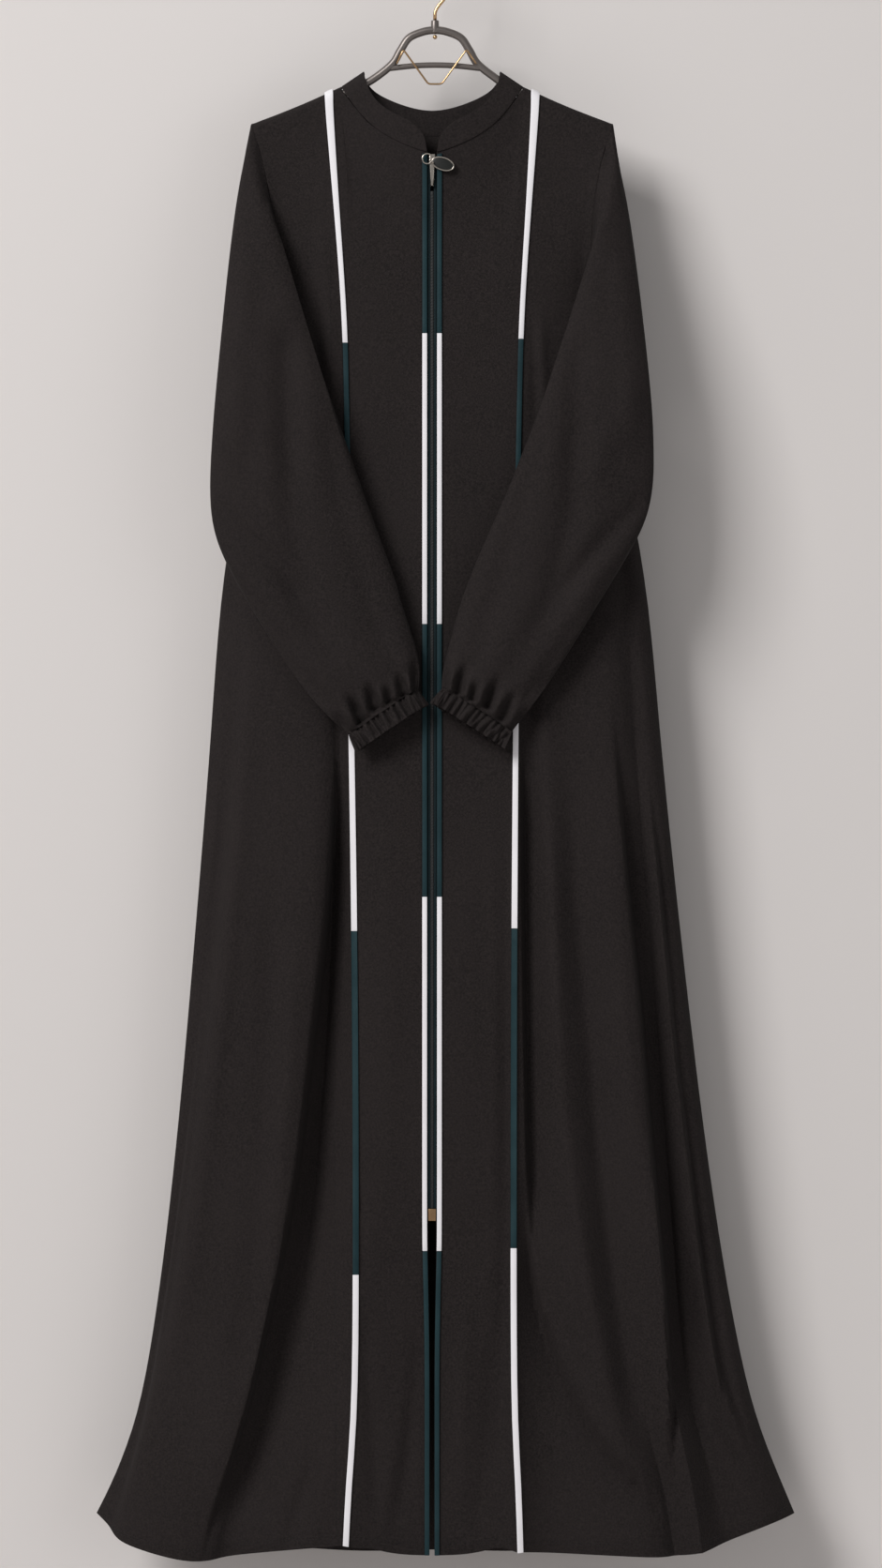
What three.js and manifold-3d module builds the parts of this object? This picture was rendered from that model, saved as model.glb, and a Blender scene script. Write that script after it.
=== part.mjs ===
// A long open-front abaya that zips down the middle, hung on a plain metal hanger.
// Millimetres, +Z up, the front faces -Y and the garment's left side as it is seen is -X.
// The origin is the inside top of the hanger's hook, so every height is a drop below it.
// All cloth is a thin wall: an outer grid of points, an inner grid one wall behind it, and rims.

import * as THREE from "three";
import { mergeVertices } from "three/addons/utils/BufferGeometryUtils.js";
import Module from "manifold-3d";

const wasm = await Module();
wasm.setup();

const WALL = 1.8; // cloth with its facing
const FRILL_WALL = 1; // the single layer of the pleated cuff
const SEAM_GAP = 0.3; // between two pieces at a seam
const HALF_GAP = SEAM_GAP / 2;

const NECK_OUT = 95; // neck point, from the centre line
const NECK_DROP = 151;
const SHOULDER_OUT = 189; // end of the shoulder seam
const SHOULDER_DROP = 190;
const FRONT_NECK_DROP = 222;
const BACK_NECK_DROP = 203;
const NECK_FORE = 16; // how far the front of the neckline stands forward of the shoulder seam
const NECK_AFT = 13;
const UNDERARM_DROP = 425;
const OVER_ARM = 6.5; // the cloth rounds over the hanger's arm at this radius
const FULL_FALL = 170; // this far below its top edge the cloth stands out to its full depth
const NECK_FALL = 200; // and this far below, the neckline's own stand has faded
const SQUARENESS = 3.4; // how square the body's level section is
const FOLD_START = 22; // folds fade out where the cloth is nearer the side plane than this
const CHEST_DROP = 300;

const BINDING_WIDTH = 5.2; // each side of the zip
const PIPING_WIDTH = 5.4; // down the princess seam
const PIPING_TOP_WIDTH = 8.8; // wider where it starts at the shoulder
const TRIM_HEIGHT = 1.7;
const TRIM_CROWN = 0.5; // the trim's middle stands this much higher than its edges
const ZIP_END_DROP = 1320;
const HALF_ZIP = 5; // from the centre line to a front's edge
const HALF_SLIT = 2.5; // the same below the zip, where the fronts hang closer

const CLOTH = { color: 0x232121, roughness: 0.92, metalness: 0 };
const WHITE = { color: 0xe1e0e4, roughness: 0.85, metalness: 0 };
const TEAL = { color: 0x16363c, roughness: 0.7, metalness: 0 };
const COIL = { color: 0x121212, roughness: 0.45, metalness: 0 };
const SILVER = { color: 0xc9c6bf, roughness: 0.22, metalness: 1 };
const GOLD = { color: 0xc8a578, roughness: 0.28, metalness: 1 };
const TAUPE = { color: 0x6e6460, roughness: 0.38, metalness: 0.8 };

// Half widths of the body to its side seams, and how far its front and back stand out.
const SECTIONS = [
  { drop: 190, left: 189, right: 189, front: 10, back: 9 },
  { drop: 425, left: 176, right: 176, front: 24, back: 20 },
  { drop: 650, left: 219, right: 223, front: 30, back: 27 },
  { drop: 825, left: 231, right: 238, front: 33, back: 31 },
  { drop: 1000, left: 245, right: 256, front: 36, back: 35 },
  { drop: 1300, left: 272, right: 292, front: 42, back: 42 },
  { drop: 1530, left: 305, right: 334, front: 48, back: 49 },
  { drop: 1590, left: 325, right: 357, front: 50, back: 51 },
  { drop: 1640, left: 351, right: 379, front: 52, back: 52 },
];

// The armhole's edge above the underarm, and how far it stands off the side plane, front and back.
const ARMHOLE = [
  { drop: 190, out: 189, front: 6.5, back: 6.5 },
  { drop: 197, out: 187, front: 7, back: 7 },
  { drop: 220, out: 178, front: 9, back: 9 },
  { drop: 260, out: 170, front: 12, back: 12 },
  { drop: 300, out: 166, front: 14, back: 14 },
  { drop: 350, out: 164, front: 14, back: 14 },
  { drop: 400, out: 168, front: 9, back: 9 },
  { drop: 425, out: 176, front: 0, back: 0 },
];

// Fold lines run down the body. Each row gives the line's distance out from the centre line and
// its rise in front of the plain form, at the heights named by LEVELS, and where it meets the hem.
const LEVELS = [170, 425, 650, 1300, 1500, 1640];
const PRINCESS = {
  left: { out: [112, 93, 89, 81.5, 82, 92], fore: [0, 0, 0, 4, 7, 8], end: 1667 },
  right: { out: [112, 95, 91, 87, 87, 94], fore: [0, 0, 0, 3, 5, 6], end: 1674 },
};
const FRONT_FOLDS = {
  left: [
    { name: "seam valley", out: [124, 107, 99, 121, 158, 205], fore: [0, 0, -3, -16, -16, -12], end: 1680 },
    { name: "face edge", out: [136, 122, 112, 137, 178, 228], fore: [0, 0, 1, 3, 2, 2], end: 1684 },
    { name: "face ridge", out: [152, 142, 160, 182, 210, 262], fore: [0, 1, 4, 9, 9, 8], end: 1684 },
    { name: "fold edge", out: [170, 160, 189, 253, 284, 322], fore: [0, 1, 3, 11, 12, 10], end: 1668 },
    { name: "side valley", out: [181, 169, 204, 262, 292, 336], fore: [0, 0, -2, -7, -7, -6], end: 1654 },
  ],
  right: [
    { name: "seam valley", out: [122, 105, 101, 106, 118, 132], fore: [0, 0, -2, -9, -10, -9], end: 1677 },
    { name: "inner ridge", out: [134, 118, 114, 148, 184, 226], fore: [0, 0, 2, 8, 9, 8], end: 1680 },
    { name: "soft valley", out: [148, 133, 138, 180, 212, 252], fore: [0, 0, 0, -3, -4, -5], end: 1680 },
    { name: "fold edge", out: [165, 152, 180, 230, 248, 280], fore: [0, 1, 4, 11, 12, 10], end: 1676 },
    { name: "deep valley", out: [174, 162, 200, 248, 264, 305], fore: [0, 0, -3, -13, -14, -11], end: 1668 },
    { name: "side strip", out: [182, 169, 212, 272, 302, 345], fore: [0, 0, 1, 3, 3, 3], end: 1652 },
  ],
};

// The back hangs in the same kind of folds: where each line starts at the top edge, its share of
// the half width lower down, and its rise aft of the plain form at LEVELS.
const BACK_FOLDS = [
  { name: "left side valley", top: -166, share: -0.93, aft: [0, 0, -2, -8, -8, -6] },
  { name: "left outer ridge", top: -140, share: -0.8, aft: [0, 1, 4, 10, 12, 10] },
  { name: "left valley", top: -115, share: -0.6, aft: [0, 0, -3, -13, -15, -12] },
  { name: "left neck point", top: -95, share: -0.53, aft: [0, 0, -2, -6, -7, -6] },
  { name: "left neck side", top: -94.7, share: -0.49, aft: [0, 0, 0, -1, -1, 0] },
  { name: "left neck back", top: -93.2, share: -0.45, aft: [0, 0, 1, 5, 6, 5] },
  { name: "left inner ridge", top: -72, share: -0.37, aft: [0, 0, 2, 8, 10, 9] },
  { name: "left middle dip", top: -38, share: -0.19, aft: [0, 0, -1, -6, -8, -7] },
  { name: "middle ridge", top: 0, share: 0.03, aft: [0, 0, 2, 7, 8, 7] },
  { name: "right middle dip", top: 38, share: 0.22, aft: [0, 0, -2, -8, -9, -8] },
  { name: "right inner ridge", top: 72, share: 0.39, aft: [0, 0, 3, 9, 11, 9] },
  { name: "right neck back", top: 93.2, share: 0.47, aft: [0, 0, 1, 4, 6, 4] },
  { name: "right neck side", top: 94.7, share: 0.51, aft: [0, 0, 0, -2, -1, -1] },
  { name: "right neck point", top: 95, share: 0.55, aft: [0, 0, -1, -6, -7, -6] },
  { name: "right valley", top: 115, share: 0.62, aft: [0, 0, -2, -11, -13, -12] },
  { name: "right outer ridge", top: 140, share: 0.81, aft: [0, 1, 4, 10, 11, 10] },
  { name: "right side valley", top: 166, share: 0.94, aft: [0, 0, -2, -7, -8, -6] },
];
const BACK_HEM_DROP = 1676;
const SIDE_HEM_DROP = 1642;

// The neckline turns over the hanger's arm close to the neck point, on three lines. Just below
// the edge they fan out, so that the corner of the cloth there isn't crowded.
const NECK_LINES = [
  { name: "neck front", out: 93.2 },
  { name: "neck side", out: 94.7 },
  { name: "neck point", out: NECK_OUT },
];
const NECK_FAN = [
  { out: 93, by: 1 },
  { out: 94, by: 1.8 },
  { out: 94.9, by: 3.4 },
];
function fanAt(topOut, fall) {
  if (topOut < NECK_FAN[0].out || topOut > NECK_OUT + 0.1) return 0;
  const widest = NECK_FAN.filter(({ out }) => topOut >= out).at(-1).by;
  return widest * smooth(fall / 4) * (1 - smooth((fall - 10) / 70));
}

// Rows of the body: a few at fixed distances below the top edge, then level ones, then the hem.
const EDGE_ROWS = [0, 2.5, 6.5, 15, 40];
const LEVEL_ROWS = [276, 330, 380, 425, 490, 580, 690, 820, 960, 1100, 1230, 1350, 1455, 1540, 1605];
const ROW_COUNT = EDGE_ROWS.length + LEVEL_ROWS.length + 1;
const HEM_ROW = ROW_COUNT - 1;
const UNDERARM_ROW = EDGE_ROWS.length + LEVEL_ROWS.indexOf(UNDERARM_DROP);

// Rings down each sleeve, each through four points: its outer and inner edges and the middles of
// its front and back layers. Every point is out from the centre line, fore of it, and drop.
const SLEEVES = {
  left: [
    { outer: [204, 8, 278], front: [181, 34, 286], inner: [150, 32, 334], back: [186, 8, 426] },
    { outer: [218, 42, 412], front: [166, 62, 424], inner: [108, 47, 466], back: [172, 33, 474] },
    { outer: [228, 50, 520], front: [146, 66, 556], inner: [64, 51, 598], back: [148, 39, 566] },
    { outer: [233, 50, 606], front: [136, 66, 634], inner: [38, 51, 668], back: [136, 39, 640] },
    { outer: [186, 50, 702], front: [106, 66, 703], inner: [28, 50, 704], back: [106, 38, 703] },
    { outer: [135, 52, 780], front: [74, 66, 762], inner: [13, 52, 748], back: [74, 41, 766] },
    { outer: [86, 51, 829], front: [50, 60, 804], inner: [16, 51, 782], back: [50, 43, 807] },
  ],
  right: [
    { outer: [205, 8, 276], front: [182, 34, 290], inner: [166, 32, 330], back: [188, 8, 428] },
    { outer: [221, 42, 418], front: [170, 62, 426], inner: [118, 47, 470], back: [174, 33, 476] },
    { outer: [231, 50, 520], front: [150, 66, 556], inner: [82, 51, 566], back: [152, 39, 560] },
    { outer: [230, 50, 592], front: [136, 66, 616], inner: [47, 51, 645], back: [136, 39, 622] },
    { outer: [182, 50, 678], front: [104, 66, 690], inner: [25, 50, 705], back: [104, 38, 694] },
    { outer: [132, 52, 760], front: [72, 66, 752], inner: [13, 52, 756], back: [72, 41, 756] },
    { outer: [83, 51, 826], front: [44, 60, 800], inner: [12, 51, 781], back: [44, 43, 803] },
  ],
};
// Where the ring's edges sit round the armhole: 0 at the shoulder tip, 0.5 under the arm.
const ARMHOLE_TURNS = { outer: -0.05, front: 0.09, inner: 0.23, back: 0.5 };
const SLEEVE_COLUMNS = 32;
const SLEEVE_STEPS = [3, 2, 2, 1, 2, 1, 2]; // rows made between one ring and the next
const SLEEVE_GATHERS = 8;
const GATHER_DEPTH = 1.6;

const CUFF = { length: 19, flare: 1.5, waves: 24, depth: 2.3 };
const CUFF_COLUMNS = 4 * CUFF.waves;
const CUFF_ROWS = 3;

const COLLAR_HEIGHT = 27;
const COLLAR_SIDE_LEAN = 22;
const COLLAR_SIDE_LOSS = 12; // how much less it rises where it leans

const PIPING_STOPS = {
  left: [NECK_DROP, 421, 722, 1033, 1388, 1700],
  right: [NECK_DROP, 417, 718, 1030, 1361, 1700],
};
const BINDING_STOPS = [224, 411, 714, 997, 1364, 1700];

// Small maths shared by every piece.

const clamp01 = (t) => Math.min(1, Math.max(0, t));
const smooth = (t) => clamp01(t) ** 2 * (3 - 2 * clamp01(t));
const mix = (a, b, t) => a + (b - a) * t;
const at = (x, fore, drop) => new THREE.Vector3(x, -fore, -drop);

// The value at x of a smooth curve through the points (xs, ys), with no overshoot.
function through(xs, ys, x) {
  const last = xs.length - 1;
  if (x <= xs[0]) return ys[0];
  if (x >= xs[last]) return ys[last];
  let i = 0;
  while (x > xs[i + 1]) i++;
  const secant = (k) => (ys[k + 1] - ys[k]) / (xs[k + 1] - xs[k]);
  const slope = (k) => {
    if (k === 0) return secant(0);
    if (k === last) return secant(last - 1);
    const [a, b] = [secant(k - 1), secant(k)];
    return a * b > 0 ? (2 * a * b) / (a + b) : 0;
  };
  const h = xs[i + 1] - xs[i];
  const t = (x - xs[i]) / h;
  const rise = (2 * t - 3) * t * t * (ys[i] - ys[i + 1]);
  return ys[i] + rise + h * t * (1 - t) * ((1 - t) * slope(i) - t * slope(i + 1));
}

const column = (table, key) => table.map((row) => row[key]);
const fromTable = (table, key, drop) => through(column(table, "drop"), column(table, key), drop);

// A point between b and c on the spline through four points.
function spline(a, b, c, d, t) {
  const blend = (p, q, r, s) =>
    0.5 * (2 * q + (r - p) * t + (2 * p - 5 * q + 4 * r - s) * t * t + (3 * q - p - 3 * r + s) * t * t * t);
  return new THREE.Vector3(
    blend(a.x, b.x, c.x, d.x),
    blend(a.y, b.y, c.y, d.y),
    blend(a.z, b.z, c.z, d.z),
  );
}

// Meshes.

const garment = new THREE.Group();
const materials = new Map();

function addMesh(name, geometry, look) {
  if (!materials.has(look)) materials.set(look, new THREE.MeshStandardMaterial(look));
  const mesh = new THREE.Mesh(geometry, materials.get(look));
  mesh.name = name;
  garment.add(mesh);
}

// A wall between two grids of points, closed by rims; with wrap its columns run all round.
function wallGeometry(outer, inner, wrap = false) {
  const rows = outer.length;
  const columns = outer[0].length;
  const points = [...outer.flat(), ...inner.flat()];
  const id = (layer, row, col) => layer * rows * columns + row * columns + (col % columns);
  const faces = [];
  const quad = (a, b, c, d) => faces.push([a, b, c], [a, c, d]);
  const strips = wrap ? columns : columns - 1;
  for (let r = 0; r < rows - 1; r++) {
    for (let c = 0; c < strips; c++) {
      quad(id(0, r, c), id(0, r + 1, c), id(0, r + 1, c + 1), id(0, r, c + 1));
      quad(id(1, r, c), id(1, r, c + 1), id(1, r + 1, c + 1), id(1, r + 1, c));
    }
  }
  for (let c = 0; c < strips; c++) {
    quad(id(0, 0, c), id(0, 0, c + 1), id(1, 0, c + 1), id(1, 0, c));
    quad(id(0, rows - 1, c + 1), id(0, rows - 1, c), id(1, rows - 1, c), id(1, rows - 1, c + 1));
  }
  if (!wrap) {
    for (let r = 0; r < rows - 1; r++) {
      quad(id(0, r + 1, 0), id(0, r, 0), id(1, r, 0), id(1, r + 1, 0));
      const end = columns - 1;
      quad(id(0, r, end), id(0, r + 1, end), id(1, r + 1, end), id(1, r, end));
    }
  }
  const six = faces.reduce(
    (sum, [a, b, c]) => sum + points[a].dot(points[b].clone().cross(points[c])),
    0,
  );
  if (six < 0) faces.forEach((face) => face.reverse());
  return new THREE.BufferGeometry()
    .setAttribute("position", new THREE.Float32BufferAttribute(points.flatMap((p) => p.toArray()), 3))
    .setIndex(faces.flat());
}

function toSolid(geometry) {
  const bare = geometry.clone().deleteAttribute("normal").deleteAttribute("uv");
  const merged = mergeVertices(bare, 1e-4);
  return new wasm.Manifold(
    new wasm.Mesh({
      numProp: 3,
      vertProperties: new Float32Array(merged.attributes.position.array),
      triVerts: new Uint32Array(merged.index.array),
    }),
  );
}

function joined(geometries) {
  const whole = geometries.map(toSolid).reduce((a, b) => a.add(b));
  const mesh = whole.getMesh();
  return new THREE.BufferGeometry()
    .setAttribute("position", new THREE.Float32BufferAttribute(mesh.vertProperties, 3))
    .setIndex(new THREE.BufferAttribute(mesh.triVerts, 1));
}

// A round rod along a smooth line through the given points.
function rod(points, radius, steps, sides = 8) {
  const path = new THREE.CatmullRomCurve3(points, false, "centripetal");
  const section = new THREE.Shape();
  for (let k = 0; k < sides; k++) {
    const turn = (2 * Math.PI * k) / sides;
    const [x, y] = [radius * Math.cos(turn), radius * Math.sin(turn)];
    if (k) section.lineTo(x, y);
    else section.moveTo(x, y);
  }
  return new THREE.ExtrudeGeometry(section, { steps, extrudePath: path, curveSegments: 1 });
}

// A flat plate of the outline in the garment's own plane, from one depth to another.
function plate(outline, fore, thickness) {
  const shape = new THREE.Shape(outline.map(([x, drop]) => new THREE.Vector2(x, -drop)));
  const geometry = new THREE.ExtrudeGeometry(shape, { depth: thickness, bevelEnabled: false });
  return geometry.rotateX(Math.PI / 2).translate(0, -fore + thickness, 0);
}

// The body's form.

const sideSign = (side) => (side === "left" ? -1 : 1);

function shoulderDrop(out) {
  const share = (out - NECK_OUT) / (SHOULDER_OUT - NECK_OUT);
  return mix(NECK_DROP, SHOULDER_DROP, share) + 1.5 * Math.sin(Math.PI * clamp01(share));
}

// The top edge: a neckline rounded into the shoulder seam.
function topDrop(out, neckDrop) {
  if (out >= NECK_OUT) return shoulderDrop(out);
  const share = Math.abs(out) / NECK_OUT;
  return NECK_DROP + (neckDrop - NECK_DROP) * (1 - share ** 1.5) ** (1 / 1.5);
}

// How far over the hanger's arm the cloth has come, a given fall below the shoulder.
const overArm = (fall) => OVER_ARM * Math.sqrt(1 - (1 - Math.min(fall / OVER_ARM, 1)) ** 2);

// The neckline stands off the side plane: first over the arm, then out to the middle's depth.
function neckStand(out, drop, depth) {
  const slope = (SHOULDER_DROP - NECK_DROP) / (SHOULDER_OUT - NECK_OUT);
  const fall = drop - (NECK_DROP - slope * (NECK_OUT - out));
  return overArm(Math.max(0, fall)) + (depth - OVER_ARM) * (1 - (out / NECK_OUT) ** 2);
}

function edgeOut(side, drop) {
  return drop < UNDERARM_DROP ? fromTable(ARMHOLE, "out", drop) : fromTable(SECTIONS, side, drop);
}

// How far the cloth stands off the side plane, below one line's top edge.
function standOff(line, out, drop) {
  const share = clamp01(Math.abs(out) / line.edge(drop));
  const fall = Math.max(0, drop - line.top);
  const hung = Math.max(0, fromTable(SECTIONS, line.face, drop) - OVER_ARM) * smooth(fall / FULL_FALL);
  const full = OVER_ARM + hung;
  const shape = Math.sqrt(1 - share ** SQUARENESS);
  const high = 1 - smooth((drop - CHEST_DROP) / (UNDERARM_DROP - CHEST_DROP));
  const arm = OVER_ARM * high;
  const below = mix(full * shape, arm + (full - arm) * shape, high);
  const rim = drop < UNDERARM_DROP ? fromTable(ARMHOLE, line.face, drop) : 0;
  const body = high > 0 ? mix(below, rim, share ** (8 / high)) : below;
  if (line.topOut >= NECK_OUT) return body * (overArm(fall) / OVER_ARM);
  const neck = neckStand(line.topOut, drop, line.neckDepth);
  return mix(neck, Math.max(body, 0), smooth(fall / NECK_FALL));
}

// The distance out of the front's edge at the zip; below the zip the two fronts close in.
const zipEdge = (drop) =>
  through([ZIP_END_DROP + 32, ZIP_END_DROP + 100], [HALF_ZIP, HALF_SLIT], drop);
const pipingWidth = (drop) => through([160, CHEST_DROP], [PIPING_TOP_WIDTH, PIPING_WIDTH], drop);

// Each line of a front: a function from a drop to its place out, its rise, and its two ends.
function frontLines(side) {
  const seam = PRINCESS[side];
  const seamOut = (drop) => through(LEVELS, seam.out, drop);
  const seamFore = (drop) => through(LEVELS, seam.fore, drop);
  const inside = (name, topShare, share, end) => {
    const shareAt = (drop) => through([LEVELS[0], CHEST_DROP], [topShare, share], drop);
    const zipSide = (drop) => zipEdge(drop) + BINDING_WIDTH;
    const seamSide = (drop) => seamOut(drop) - pipingWidth(drop);
    return {
      name,
      out: (drop) => mix(zipSide(drop), seamSide(drop), shareAt(drop)),
      fore: (drop) => seamFore(drop) * shareAt(drop) ** 2,
      end,
    };
  };
  const zipEnd = zipEdge(0) + BINDING_WIDTH;
  const topSpan = seam.out[0] - PIPING_TOP_WIDTH - zipEnd;
  const neckLine = (name, topOut, share) => inside(name, (topOut - zipEnd) / topSpan, share, 1670);
  const centre = [
    { name: "zip edge", out: zipEdge, fore: () => 0, end: 1678 },
    inside("binding edge", 0, 0, 1678),
    inside("inner third", 0.3, 0.28, 1677),
    inside("outer third", 0.62, 0.52, 1674),
    ...NECK_LINES.map(({ name, out }, k) => neckLine(name, out, 0.7 + 0.08 * k)),
    inside("piping edge", 1, 1, seam.end + 1),
    { name: "princess seam", out: seamOut, fore: seamFore, end: seam.end },
  ];
  const edgeAtLevel = (level) => (level <= LEVELS[0] ? SHOULDER_OUT : edgeOut(side, level));
  const folds = FRONT_FOLDS[side].map((fold) => {
    const shares = LEVELS.map(
      (level, k) => (fold.out[k] - seam.out[k]) / (edgeAtLevel(level) - seam.out[k]),
    );
    return {
      name: fold.name,
      out: (drop) => mix(seamOut(drop), edgeOut(side, drop), through(LEVELS, shares, drop)),
      fore: (drop) => through(LEVELS, fold.fore, drop),
      end: fold.end,
    };
  });
  const sideEdge = (drop) => edgeOut(side, drop);
  const outer = { name: "side edge", out: sideEdge, fore: () => 0, end: SIDE_HEM_DROP };
  const lines = [...centre, ...folds, outer];
  return lines.map((line) => ({
    ...line,
    x: (drop) => sideSign(side) * line.out(drop),
    topOut: Math.min(line.out(LEVELS[0]), SHOULDER_OUT),
    top: topDrop(Math.min(line.out(LEVELS[0]), SHOULDER_OUT), FRONT_NECK_DROP),
    edge: (drop) => edgeOut(side, drop),
    face: "front",
    neckDepth: NECK_FORE,
  }));
}

function backLines() {
  const line = (name, topOut, share, aft, end) => {
    const shareAt = (drop) => through([LEVELS[0], 380], [topOut / SHOULDER_OUT, share], drop);
    const edge = (drop) => edgeOut(share < 0 ? "left" : "right", drop);
    return {
      name,
      x: (drop) => (drop <= LEVELS[0] ? topOut : shareAt(drop) * edge(drop)),
      fore: (drop) => through(LEVELS, aft, drop),
      topOut: Math.abs(topOut),
      top: topDrop(Math.abs(topOut), BACK_NECK_DROP),
      edge,
      end,
      face: "back",
      neckDepth: NECK_AFT,
    };
  };
  const flat = LEVELS.map(() => 0);
  const hemOf = (share) => mix(BACK_HEM_DROP, SIDE_HEM_DROP, Math.abs(share) ** 5);
  return [
    line("left side edge", -SHOULDER_OUT, -1, flat, SIDE_HEM_DROP),
    ...BACK_FOLDS.map(({ name, top, share, aft }) => line(name, top, share, aft, hemOf(share))),
    line("right side edge", SHOULDER_OUT, 1, flat, SIDE_HEM_DROP),
  ];
}

// A drop for a row, which may lie between two rows, on one line.
function rowDrop(line, row) {
  const whole = Math.min(Math.max(Math.floor(row), 0), HEM_ROW - 1);
  const drop = (r) => {
    if (r < EDGE_ROWS.length) return line.top + EDGE_ROWS[r];
    if (r === HEM_ROW) return line.end;
    return LEVEL_ROWS[r - EDGE_ROWS.length];
  };
  return mix(drop(whole), drop(whole + 1), row - whole);
}

function linePoint(line, row) {
  const drop = rowDrop(line, Math.max(0, row));
  const fall = drop - line.top;
  const plain = line.x(drop);
  const out = fall < EDGE_ROWS[1] / 2 ? line.topOut : Math.abs(plain) + fanAt(line.topOut, fall);
  const x = Math.sign(plain) * out;
  const off = standOff(line, x, drop);
  const fold = line.fore(drop) * smooth(off / FOLD_START);
  return at(x, (line.face === "front" ? 1 : -1) * (off + fold), drop);
}

// The surface through a set of lines. The place along it is a line number, whole or between.
function surfaceOf(lines, startMirror, endMirror) {
  const last = lines.length - 1;
  const ghost = (edge, next, mirror) => {
    const p = edge.clone();
    if (mirror === "x") return new THREE.Vector3(-next.x, next.y, next.z);
    const on = 2 * p.x - next.x;
    const closed = smooth((-p.z - 400) / 60);
    return new THREE.Vector3(mix(on, next.x, closed), mix(2 * p.y - next.y, -next.y, closed), next.z);
  };
  const point = (place, row) => {
    const k = Math.min(Math.max(Math.floor(place), 0), last - 1);
    const [b, c] = [linePoint(lines[k], row), linePoint(lines[k + 1], row)];
    const a = k ? linePoint(lines[k - 1], row) : ghost(b, c, startMirror);
    const d = k + 2 <= last ? linePoint(lines[k + 2], row) : ghost(c, b, endMirror);
    return spline(a, b, c, d, place - k);
  };
  const normal = (place, row) => {
    const step = 0.12;
    const across = point(place + step, row).sub(point(place - step, row));
    const down = point(place, Math.min(row + step, HEM_ROW)).sub(point(place, Math.max(row - step, 0)));
    return across.cross(down).normalize();
  };
  return { point, normal, last, lines };
}

// The grids of one panel. Its first and last columns draw back from the seams.
function panel(surface, places, { outward, sideSeams = [], closeTop = () => true }) {
  const columns = places.length;
  const outer = [];
  const inner = [];
  for (let row = 0; row < ROW_COUNT; row++) {
    outer.push([]);
    inner.push([]);
    places.forEach((place, k) => {
      const p = surface.point(place, row);
      const n = surface.normal(place, row);
      if (n.y * outward < 0) n.negate();
      const atSeam = (k === 0 || k === columns - 1) && !sideSeams.includes(place);
      if (atSeam) {
        const next = surface.point(places[k ? k - 1 : 1], row);
        p.add(next.sub(p).normalize().multiplyScalar(HALF_GAP));
      }
      if (sideSeams.includes(place) && row >= UNDERARM_ROW) {
        n.set(Math.sign(p.x), 0, 0);
        p.y = outward * HALF_GAP;
      } else if (row === 0 && closeTop(p)) {
        n.set(n.x, 0, Math.abs(n.z)).normalize();
        p.y = outward * HALF_GAP;
      }
      outer[row].push(p);
      inner[row].push(p.clone().addScaledVector(n, -WALL));
    });
  }
  return { outer, inner };
}

const onShoulderSeam = (p) => Math.abs(p.x) > NECK_OUT - 0.1;

const NECK_PLACE = 6; // the neck point's line among a front's lines
const fronts = {};
for (const side of ["left", "right"]) {
  const surface = surfaceOf(frontLines(side), "x", "y");
  const seamLine = surface.lines.findIndex((line) => line.name === "princess seam");
  const centrePlaces = [0, 1, 1.5, 2, 2.5, 3, 3.5, 4, 5, 6, 7, 8];
  const sidePlaces = [];
  for (let line = seamLine; line < surface.last; line++) sidePlaces.push(line, line + 0.5);
  sidePlaces.push(surface.last);
  const form = { outward: -1, closeTop: onShoulderSeam };
  const centre = panel(surface, centrePlaces, form);
  const sidePanel = panel(surface, sidePlaces, { ...form, sideSeams: [surface.last] });
  addMesh("front_centre_" + side, wallGeometry(centre.outer, centre.inner), CLOTH);
  addMesh("front_side_" + side, wallGeometry(sidePanel.outer, sidePanel.inner), CLOTH);
  fronts[side] = { centre, sidePanel, centrePlaces };
}

const backSurface = surfaceOf(backLines(), "y", "y");
const isNeckLine = (k) => backSurface.lines[k].name.includes("neck");
const backPlaces = [];
for (let line = 0; line < backSurface.last; line++) {
  backPlaces.push(line);
  if (!isNeckLine(line) || !isNeckLine(line + 1)) backPlaces.push(line + 0.5);
}
backPlaces.push(backSurface.last);
const back = panel(backSurface, backPlaces, {
  outward: 1,
  sideSeams: [0, backSurface.last],
  closeTop: onShoulderSeam,
});
addMesh("back", wallGeometry(back.outer, back.inner), CLOTH);

// Sleeves. The first ring is the armhole's own edge; the others are named by four points each.

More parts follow.
